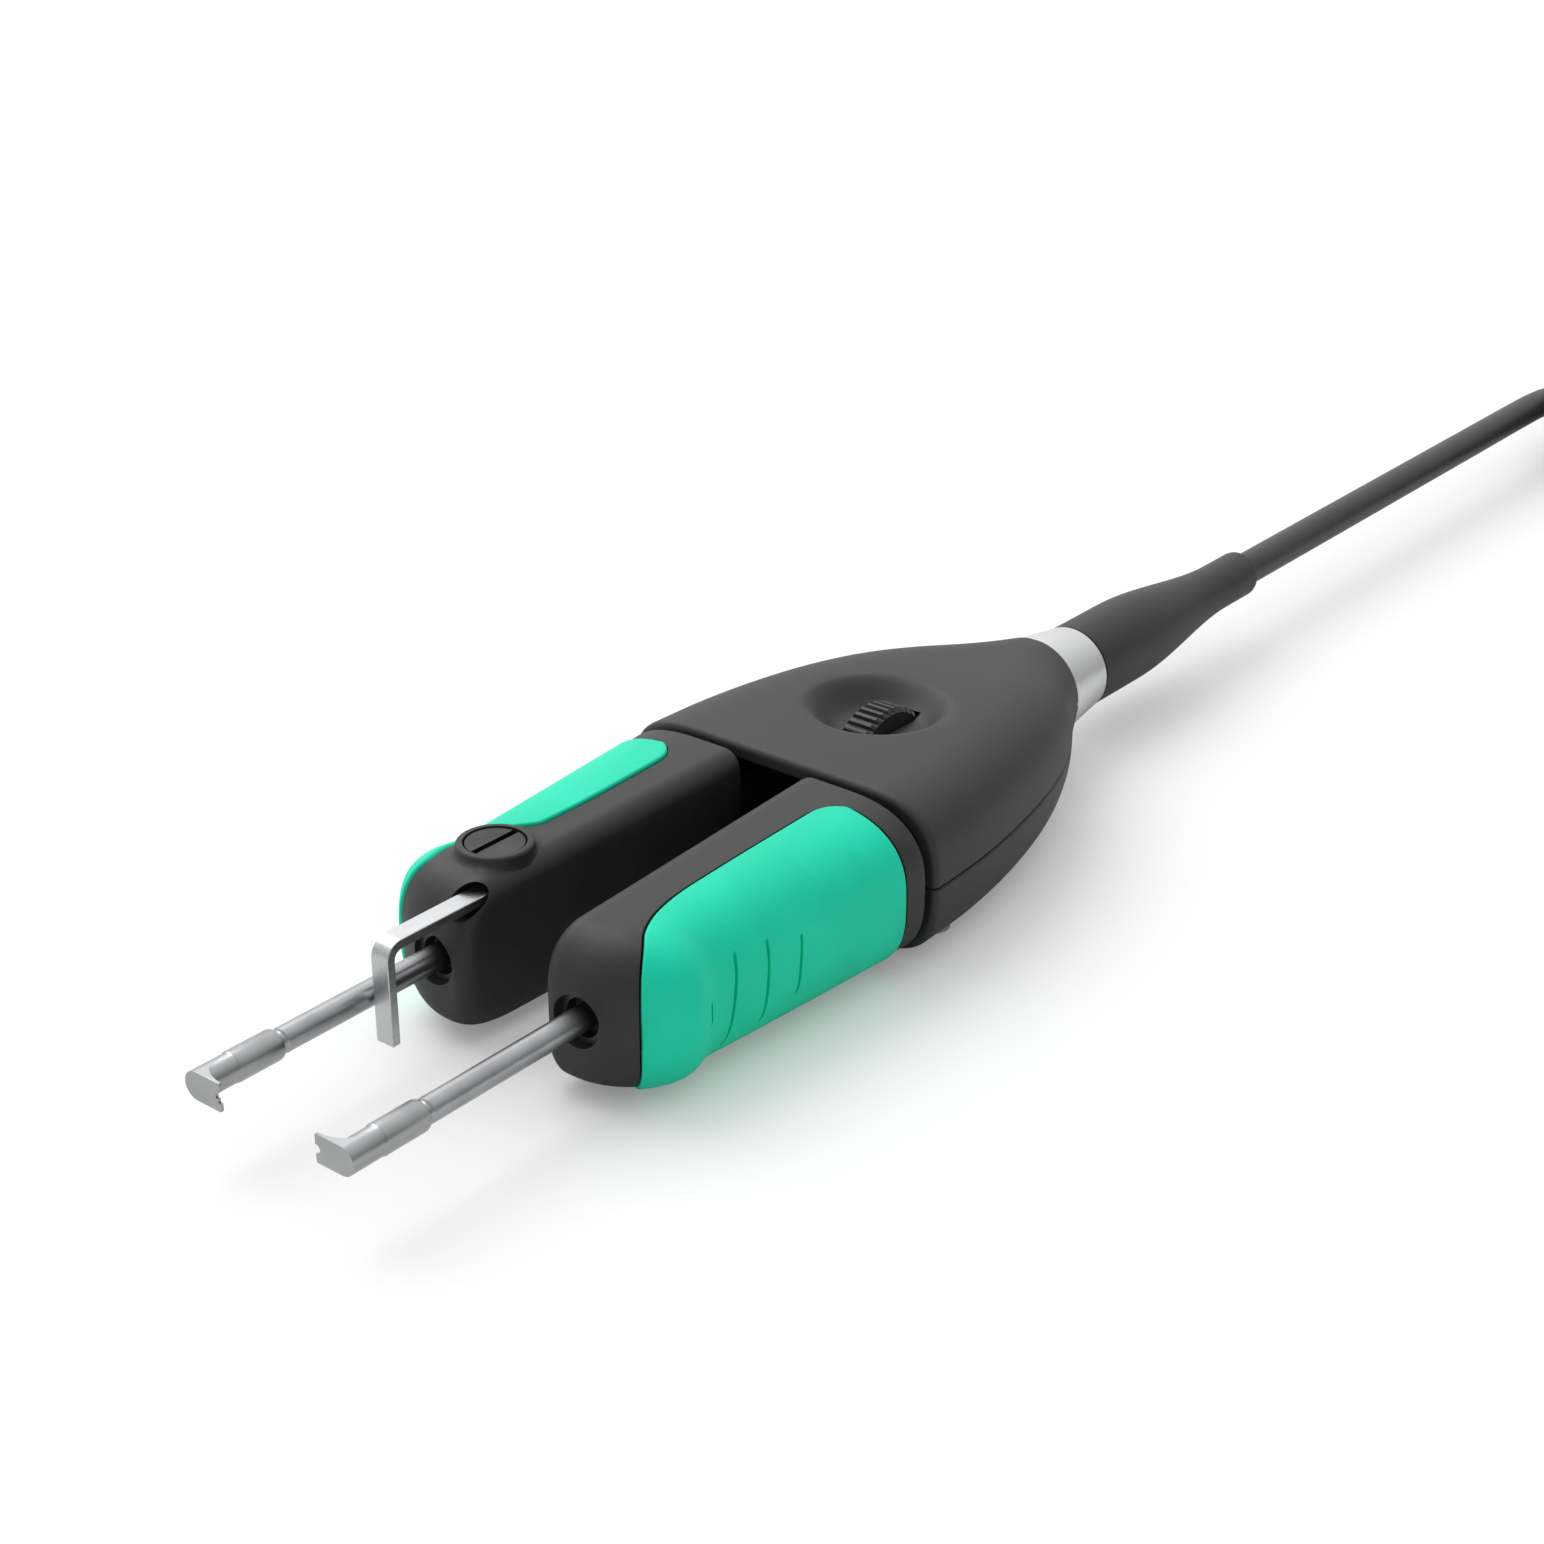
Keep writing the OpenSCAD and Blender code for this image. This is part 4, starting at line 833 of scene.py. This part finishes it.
def side_x(s, z, d):
    """How far out the side of an arm lies at a height above the mid plane."""
    box = arm_box(s, d)
    for corner, top, h in ((corner_out, box[3], z), (corner_base_out, -box[2], -z)):
        r = fitted(corner, d, box, share_out)
        if h > top - r[1]:
            return box[1] - r[0] + r[0] * max(0, 1 - ((h - top + r[1]) / r[1]) ** swell) ** (1 / swell)
    return box[1]


def groove(upper, lower, s, slant):
    """A thin ribbon that cuts one groove, shallower towards its ends. Its foot curls forward a little."""
    rings = []
    for k in range(41):
        t = k / 40
        z = lower + (upper - lower) * t
        y = rear_y - s + slant * z - 0.5 * max(0, 1 - t / 0.12) ** 2
        at = side_x(rear_y - y, z, -grip_proud)
        deep = at - groove_depth * (1 - abs(2 * t - 1) ** 10) + 0.02
        a, b = y - groove_w / 2, y + groove_w / 2
        rings.append([(deep, a, mid_z + z), (deep, b, mid_z + z), (at + 2, b, mid_z + z), (at + 2, a, mid_z + z)])
    return loft(rings)


def grip_pad(side, line):
    """One grip, as the left one. Its parts across crowd towards its edges, which are rounded."""
    half = [0.5 * (k / 40) ** 2.2 for k in range(41)]
    parts = half + [1 - p for p in reversed(half[:-1])]
    outer, inner = [], []
    places = grip_stations(grip_line, line, 90)
    for s in places:
        high, low, seat = [grip_row(s, d, grip_line, line, parts) for d in (-grip_proud, 0.4, grip_t - 0.06)]
        whole = length_of(side_run(s, 0, grip_line, line))
        across = []
        for p, above, below in zip(parts, high, low):
            near_end = max(0, grip_round - min(s - places[0], 1.6 * (places[-1] - s)))
            near_edge = max(0, grip_round - min(p, 1 - p) * whole)
            lift = min(grip_round, hypot(near_end, near_edge)) / grip_round
            drop = 1 - sqrt(max(0, 1 - lift * lift))
            across.append(tuple(a + (b - a) * drop for a, b in zip(above, below)))
        outer.append(across)
        inner.append(seat)
    form = sheet_block(outer, inner)
    pad = solid(f"{side}_grip_pad", *form, grip_rubber, f"{side}_jaw", "grip_rubber", f"{side}_grip")
    cuts = [groove(*g) for g in grooves]
    cuts.append(rod((axis_x, front_y - 1, mid_z), (axis_x, front_y + 20, mid_z), socket_d / 2 + 0.05, 64))
    carve(pad, cuts)
    if side == "right":
        mirror(pad)
    return smooth(pad, 40)


# Thermoplastic rubber: saturated mint, silky rather than glossy, with a fine even grain from the mould
grip_rubber = plastic(
    "moulded_soft_rubber_grip", ("#04dab0", "#08e4ba"), (120, 3), 0.55, 1.36, grain=(4200, 2, 0.25, 0.00004)
)
grip_pad("left", left_edge)
grip_pad("right", right_edge)

# Thumbwheel
# A moulded wheel that stands out of its slot in the dish. It has straight ridges for the thumb and bevels at
# both faces, and turns on a steel spindle.
ridges = 40
ridge_depth = 0.6
wheel_bevel = 0.5


def wheel_ring(x, shape):
    """Outline of the wheel at x: shape 1 has the full ridges, and 0 is round at the depth of the valleys."""
    r, ring = wheel_d / 2, []
    ridge = [(-0.2, 0.06), (-0.1, 0), (0.1, 0), (0.2, 0.06)]
    valley = [(0.32, 0.9), (0.42, 1), (0.58, 1), (0.68, 0.9)]
    for i in range(ridges):
        for place, depth in ridge + valley:
            a = 2 * pi * (i + place) / ridges
            q = r - ridge_depth * (1 - shape * (1 - depth))
            ring.append((x, wheel_y + q * cos(a), wheel_z + q * sin(a)))
    return ring


# Acetal, moulded: near black, smooth, with a soft shine along the ridges
wheel_acetal = plastic("moulded_acetal_wheel", ("#29292a", "#303132"), (3000, 2), 0.42, 1.48)
half = wheel_w / 2
full = half - wheel_bevel
rings = [wheel_ring(x, shape) for x, shape in ((-half, 0), (-full, 1), (full, 1), (half, 0))]
wheel = solid("thumbwheel_ridged", *loft(rings), wheel_acetal, "stop_wheel", "wheel_plastic", "thumbwheel")
carve(wheel, [rod((-4, wheel_y, wheel_z), (4, wheel_y, wheel_z), 1.5)])
smooth(wheel, 35)

# Heated cartridges
# Each is a stainless shaft with a heater head and a blade, ground to a satin grey. It plugs into a socket in
# the arm: gold-plated contacts behind, and a black heat-proof sleeve round the shaft at the front.


def break_edges(made, width):
    """Breaks a piece's edges by a width in millimetres."""
    edges = made.modifiers.new("edges", "BEVEL")
    edges.width = width * MM
    edges.segments = 2
    edges.limit_method = "ANGLE"
    edges.angle_limit = radians(35)
    return edges


def dress(node, finish, bevel):
    """Gives a node from the CAD its finish, and breaks its edges by a fraction of a millimetre."""
    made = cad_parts[node]
    made.data.materials.clear()
    made.data.materials.append(finish)
    made.modifiers.new("weld", "WELD").merge_threshold = 1e-6
    if bevel:
        break_edges(made, bevel).harden_normals = True
        made.modifiers.new("shade", "WEIGHTED_NORMAL").keep_sharp = True


def metal(name, colour, tarnish, rough, rough_to, grit):
    """A metal with its polish broken up by the grit of its last working, in millimetres."""
    mat, skin, where = material(name)
    fine = noise(mat, where, 1000 / grit, 3)
    feed(mat, skin, {
        "Base Color": ramp(mat, noise(mat, where, 260, 4), [(0.35, tarnish), (0.65, colour)]),
        "Roughness": remapped(mat, fine, rough, rough_to),
        "Normal": relief(mat, fine, 0.3, 0.00002),
        "Metallic": 1,
    })
    return mat


# Ground nickel alloy: mid grey on the flat face, with a soft bright streak along the round head
ground_alloy = metal("ground_nickel_alloy_blade", "#b0b1b2", "#a6a7a8", 0.28, 0.36, 0.12)
# Ground stainless: lighter, with a soft streak of light along the shaft
ground_stainless = metal("ground_stainless_shaft", "#b0b1b3", "#a5a6a8", 0.27, 0.34, 0.1)
# Gold plate over nickel on the contacts
gold_plate = metal("gold_plated_contact", "#e0b65c", "#d3a64c", 0.22, 0.3, 0.2)


tip_y, blade_reach, neck_len, head_len, head_d = -99.385, 3.78, 4.8, 6.2, 3.7
# The neck and the outside of the blade have one radius. A cove behind the blade leaves a thin plate at its edge
neck_r, cove_len, plate_edge, notch_r = 1.75, 2.5, 0.35, 0.55


def blade(side, notches):
    """One blade with its neck and heater head, as the left one. Without stepped notches it has one round one."""
    face = [(axis_x + neck_r * cos(radians(a)), mid_z + neck_r * sin(radians(a))) for a in range(-90, 91, 5)]
    inboard = axis_x - blade_reach
    for up in (1, -1):
        corner = [(inboard + 0.2, neck_r), (inboard + 0.06, neck_r - 0.06), (inboard, neck_r - 0.2)]
        face += [(x, mid_z + up * z) for x, z in corner[::up]]
    bar = loft([[(x, y, z) for x, z in face] for y in (tip_y, tip_y + plate_edge + cove_len + 0.1)])
    made = solid(f"{side}_blade_milled", *bar, ground_alloy, f"{side}_cartridge", "blade_steel", f"{side}_blade")
    back = neck_len + head_len
    profile = [(0, 0.2), (neck_r - 0.01, 0.2), (neck_r - 0.01, neck_len - 0.3), (neck_r + 0.02, neck_len - 0.12)]
    profile += [(head_d / 2, neck_len), (head_d / 2, back - 0.55), (head_d / 2 - 0.12, back - 0.2)]
    profile += [(head_d / 2 - 0.4, back), (0, back)]
    arc = [radians(a) for a in range(0, 91, 5)]
    plan = [(inboard - 2, tip_y + plate_edge)]
    plan += [(inboard + blade_reach * sin(a), tip_y + plate_edge + cove_len * (1 - cos(a))) for a in arc]
    plan += [(axis_x, tip_y + 5), (inboard - 2, tip_y + 5)]
    cuts = [loft([[(x, y, mid_z + z) for x, y in plan] for z in (-4, 4)])]
    for deep, lo, hi in notches:
        cuts.append(block((inboard - 1, tip_y - 1, mid_z + lo), (inboard + deep, tip_y + 4, mid_z + hi)))
    if not notches:
        x, z = inboard + 0.1, mid_z - 0.1
        cuts.append(rod((x, tip_y - 1, z), (x, tip_y + 4, z), notch_r, 32))
    carve(made, cuts)
    carve(made, [lathe(profile, (axis_x, tip_y, mid_z), "y")], "UNION")
    if side == "right":
        mirror(made)
    break_edges(made, 0.05)
    smooth(made)


blade("left", [])
blade("right", [(0.35, -0.7, 0.85), (0.7, -0.2, 0.45)])
for side in ("left", "right"):
    dress(f"{side}_shaft", ground_stainless, 0.05)
    dress(f"{side}_contacts", gold_plate, 0.04)

# Glass-filled PPS: black, dense and slightly glossy from a polished mould
pps = plastic(
    "moulded_pps_socket", ("#1d1e1f", "#27282a"), (2200, 3), 0.38, 1.6, places=(0.35, 0.7)
)
for side in ("left", "right"):
    dress(f"{side}_socket", pps, 0.12)

# Length gauge and clamp screw
# A bent strip of spring steel that stops the wire, so that each strip is as long as the last. It slides in the
# right arm and a slotted screw clamps it there, through a thin plate, against a brass insert.

# Spring steel, brushed along the strip: bright, with fine streaks lengthways
brushed_steel, skin, where = material("brushed_spring_steel_strip")
stretch = put(brushed_steel, "Mapping", {"Vector": where, "Scale": (1, 0.02, 0.3)})
streak = noise(brushed_steel, stretch.outputs["Vector"], 9000, 3)
feed(brushed_steel, skin, {
    "Base Color": ramp(brushed_steel, streak, [(0.3, "#bfc0c2"), (0.7, "#cfd0d1")]),
    "Roughness": remapped(brushed_steel, streak, 0.24, 0.36),
    "Normal": relief(brushed_steel, streak, 0.2, 0.00001),
    "Metallic": 1,
})
strip_out, leg_len, strip_bend = 10.8, 12.7, 2.3
bend_in = strip_bend - strip_t
top, leg_y = strip_z, front_y - strip_out
quarter = [radians(90 * k / 16) for k in range(17)]
profile = [(front_y + strip_in, top)]
profile += [(leg_y + strip_bend * (1 - sin(a)), top - strip_bend * (1 - cos(a))) for a in quarter]
profile += [(leg_y, top - leg_len), (leg_y + strip_t, top - leg_len)]
inner_y, inner_z = leg_y + strip_bend, top - strip_bend
profile += [(inner_y - bend_in * sin(a), inner_z + bend_in * cos(a)) for a in reversed(quarter)]
profile += [(front_y + strip_in, top - strip_t)]
strip_sides = [-strip_x - strip_w / 2, -strip_x + strip_w / 2]
strip_form = loft([[(x, y, z) for y, z in profile] for x in strip_sides])
strip = solid("bent_gauge_strip", *strip_form, brushed_steel, "gauge", "gauge_steel", "gauge_strip")
break_edges(strip, 0.1)
smooth(strip)

# Zinc plate, dull and grey with a faint cloud, and turned brass, yellow and brighter
zinc_plate = metal("zinc_plated_clamp", "#a9acae", "#9b9ea1", 0.34, 0.44, 0.2)
turned_brass = metal("turned_brass", "#c9a24a", "#b8923f", 0.26, 0.36, 0.15)
dress("gauge_clamp_plate", zinc_plate, 0.05)
dress("gauge_clamp_insert", turned_brass, 0.08)

# Black oxide on steel: a neutral dark grey with a satin shine
black_oxide = metal("black_oxide_screw", "#4a4a4b", "#3f3f40", 0.4, 0.5, 0.12)
dress("gauge_screw", black_oxide, 0.12)

# Collar and strain relief
# A turned aluminium ring closes the rear of the housing, and a rubber sleeve moulded over the cable plugs into
# it. The sleeve tapers so that the cable bends gently.

# Satin anodised aluminium, turned: rings run round it, drawn about 1 mm apart so that they show
anodised, skin, where = material("satin_anodised_aluminium_collar")
bands = {"Vector": where, "Scale": 330, "Distortion": 0.6, "Detail": 1}
rings = put(anodised, "TexWave", bands, wave_type="BANDS", bands_direction="Y")
both = {0: rings.outputs["Fac"], 1: noise(anodised, where, 6000, 2)}
mixed = put(anodised, "Math", both, operation="MULTIPLY").outputs[0]
feed(anodised, skin, {
    "Base Color": ramp(anodised, mixed, [(0.1, "#d6d7d8"), (0.7, "#dededf")]),
    "Roughness": 0.36,
    "Normal": relief(anodised, mixed, 0.15, 0.00001),
    "Metallic": 1,
})

collar_len, collar_front_r, collar_rear_r = 9.97, 7.42, 6.14
collar_y = neck_y + collar_len
collar_bore_r, collar_round = 5.3, 0.25
profile = [(collar_bore_r, 0.02), (collar_front_r - 0.3, 0.02)]
for k in range(5):
    a = radians(22.5 * k)
    profile.append((collar_front_r - collar_round + collar_round * sin(a), 0.27 - collar_round * cos(a)))
profile += [(collar_rear_r + 0.03, collar_len - 0.45), (collar_rear_r - 0.32, collar_len - 0.03)]
profile.append((collar_bore_r, collar_len - 0.03))
collar_form = lathe(profile, (0, neck_y, mid_z), "y", 128, ring=True)
smooth(solid("turned_collar", *collar_form, anodised, "housing", "collar_aluminium", "collar"), 25)

# Soft PVC: matt, much the cable's own shade, with the faint sheen and 0.2 mm grain of a blasted mould
boot_pvc = plastic(
    "moulded_pvc_strain_relief", ("#2b2c2d", "#313233"), (90, 3), 0.55, 1.52, grain=(4500, 2, 0.3, 0.00004)
)
boot_len, boot_r, boot_end_r = 47.3, 6.1, 3.55
root, slim, end_round = 12, 40, 0.75
profile = [(cable_d / 2 + 0.03, 0.05), (boot_r - 0.3, 0.05), (boot_r - 0.08, 0.15), (boot_r, 0.45)]
for k in range(41):
    t = k / 40
    profile.append((boot_r + (boot_end_r - boot_r) * t * t * (3 - 2 * t), root + (slim - root) * t))
for k in range(9):
    a = radians(90 * k / 8)
    profile.append((boot_end_r - end_round + end_round * cos(a), boot_len - end_round + end_round * sin(a)))
profile.append((cable_d / 2 + 0.03, boot_len))
boot_form = lathe(profile, (0, collar_y, mid_z), "y", 96, ring=True)
smooth(solid("tapered_strain_relief", *boot_form, boot_pvc, "housing", "boot_rubber", "strain_relief"), 40)

# Hinges, springs and closing stop
# Ground pins in brass bushes carry the arms, and a wire spring round each pin holds its arm open. The wheel's
# threaded spindle runs in two acetal bearings and moves a brass nut on each side, which stops the arms.

# Ground steel, clean and bright, and hard-drawn wire, a little duller
ground_pin = metal("ground_steel_pin", "#c3c5c8", "#b5b7ba", 0.2, 0.28, 0.2)
spring_wire = metal("drawn_spring_wire", "#a9acb0", "#989b9f", 0.3, 0.4, 0.3)
for side in ("left", "right"):
    dress(f"{side}_hinge_pin", ground_pin, 0.15)
    dress(f"{side}_hinge_bush", turned_brass, 0.1)
    dress(f"{side}_return_spring", spring_wire, 0)
    dress(f"{side}_stop_nut", turned_brass, 0.12)
dress("stop_spindle", ground_pin, 0.1)

# Natural acetal: ivory white, waxy
ivory_acetal = plastic("machined_natural_acetal", ("#ddd8ca", "#e7e3d7"), (300, 3), 0.4, 1.48)
dress("spindle_bearings", ivory_acetal, 0.1)

# Wires and cable clamp
# Silicone-covered leads run from each socket to the cable. The cable's own end is held under a zinc-plated
# bar by two screws.

# Extruded silicone: black and soft, with a dull shine
silicone = plastic("extruded_silicone_lead", ("#1c1c1d", "#242425"), (400, 2), 0.55, 1.41)
for node in ("left_lead", "right_lead", "housing_leads"):
    dress(node, silicone, 0)
dress("cable_end", jacket_pvc, 0)
dress("cable_clamp", zinc_plate, 0.2)
dress("cable_clamp_screws", zinc_plate, 0.15)
dress("housing_screws", zinc_plate, 0.15)

# Plug and tie
# A round metal plug with a soft grip ring and seven pins, on its own short moulded sleeve. A nylon tie holds
# the coil together. The pins and their insert are one node, so here they share one finish.
plug_r = 7.5
sleeve_len = 14
sleeve = [(0, 0.05), (plug_r - 2.1, 0.05), (plug_r - 2.1, 0.8), (plug_r - 2.4, 1.1), (plug_r - 2.4, 3)]
for k in range(1, 25):
    t = k / 24
    ripple = 0.35 * (0.5 - 0.5 * cos(2 * pi * 5 * t)) * (1 - t) ** 0.5
    sleeve.append((plug_r - 2.4 + (cable_d / 2 + 0.7 - plug_r + 2.4) * t - ripple, 3 + (sleeve_len - 3.6) * t))
sleeve += [(cable_d / 2 + 0.4, sleeve_len - 0.1), (cable_d / 2 + 0.03, sleeve_len), (0, sleeve_len)]
sleeve_form = lathe(sleeve, (plug_x, plug_y - sleeve_len, plug_z), "y", 64)
smooth(solid("plug_sleeve", *sleeve_form, boot_pvc, "housing", "cable_jacket", "plug_boot"), 40)

# Satin nickel plate: a little warmer and softer than steel
nickel = metal("satin_nickel_plug", "#b9bbbe", "#adafb2", 0.26, 0.34, 0.2)
dress("plug_shell", nickel, 0.2)
dress("plug_insert", pps, 0.05)

# Soft grip ring with fine ribs along it
ring_len, ring_start = 16, plug_y - sleeve_len - 34 + 12.5
ribs = 36
rings = []
for h, lift in ((0, 0), (0.35, 0), (0.9, 1), (ring_len - 0.9, 1), (ring_len - 0.35, 0), (ring_len, 0)):
    ring = []
    for i in range(ribs):
        for place, high in ((0, 1), (0.22, 1), (0.4, 0), (0.78, 0)):
            a = 2 * pi * (i + place) / ribs
            r = plug_r - 0.4 + (0.38 if high else 0.05) * lift
            ring.append((plug_x + r * cos(a), ring_start + h, plug_z + r * sin(a)))
    rings.append(ring)
plug_ring = solid("plug_grip_ribbed", *loft(rings), boot_pvc, "housing", "plug_grip_rubber", "plug_grip")
carve(plug_ring, [rod((plug_x, ring_start - 1, plug_z), (plug_x, ring_start + ring_len + 1, plug_z), 6.91, 96)])
smooth(plug_ring, 35)

# Nylon 66, moulded: black, slightly glossy. The strap goes once round the coil, with its lock on top
tie_nylon = plastic("moulded_nylon_tie", ("#1b1c1d", "#232425"), (2600, 2), 0.35, 1.53)
dress("cable_tie", tie_nylon, 0.2)

# Floor and light
# A sheet of white paper under soft studio light from the upper left, with a weak lamp at the front right. To
# the camera the paper is lifted to white, and it keeps the object's shadow.
white_paper = bpy.data.materials.new("white_paper_sweep")
white_paper.use_nodes = True
white_paper.node_tree.nodes.clear()
paper = put(white_paper, "BsdfDiffuse", {"Color": lin("#e6e6e6")})
path = put(white_paper, "LightPath")
lift = put(white_paper, "Math", {0: path.outputs["Is Camera Ray"], 1: 0.21}, operation="MULTIPLY")
glow = put(white_paper, "Emission", {"Color": (1, 1, 1, 1), "Strength": lift.outputs[0]})
both = put(white_paper, "AddShader", {0: paper.outputs[0], 1: glow.outputs[0]})
put(white_paper, "OutputMaterial", {"Surface": both.outputs[0]})
floor_mesh = bpy.data.meshes.new("floor")
floor_mesh.from_pydata([(-4, -4, 0), (4, -4, 0), (4, 4, 0), (-4, 4, 0)], [], [(0, 1, 2, 3)])
floor = add("floor", floor_mesh)
floor_mesh.materials.append(white_paper)

# The world is a studio that is bright at the upper left and dim at the front right, and plain white to the eye
world = bpy.data.worlds.new("studio")
bpy.context.scene.world = world
world.use_nodes = True
path = put(world, "LightPath")
toward = put(world, "TexCoord")
bright_side = {0: toward.outputs["Generated"], 1: (-0.55, 0.35, 0.75)}
facing = put(world, "VectorMath", bright_side, operation="DOT_PRODUCT")
level = put(world, "MapRange", {
    "Value": facing.outputs["Value"], "From Min": -0.35, "From Max": 0.95, "To Min": 0.16, "To Max": 1.13
})
strength = put(world, "Math", {0: level.outputs["Result"], 1: path.outputs["Is Camera Ray"]}, operation="MAXIMUM")
feed(world, world.node_tree.nodes["Background"], {"Strength": strength.outputs[0], "Color": (1, 1, 1, 1)})

for name, toward, power, angle in (
    ("key_lamp", (-0.62, 0.1, 0.78), 1.15, 50),
    ("front_lamp", (0.6, -0.62, 0.5), 0.14, 60),
):
    lamp = add(name, bpy.data.lights.new(name, "SUN"))
    lamp.data.energy = power
    lamp.data.angle = radians(angle)
    lamp.rotation_euler = Vector(toward).to_track_quat("Z", "Y").to_euler()

bpy.context.scene.view_settings.view_transform = "Standard"
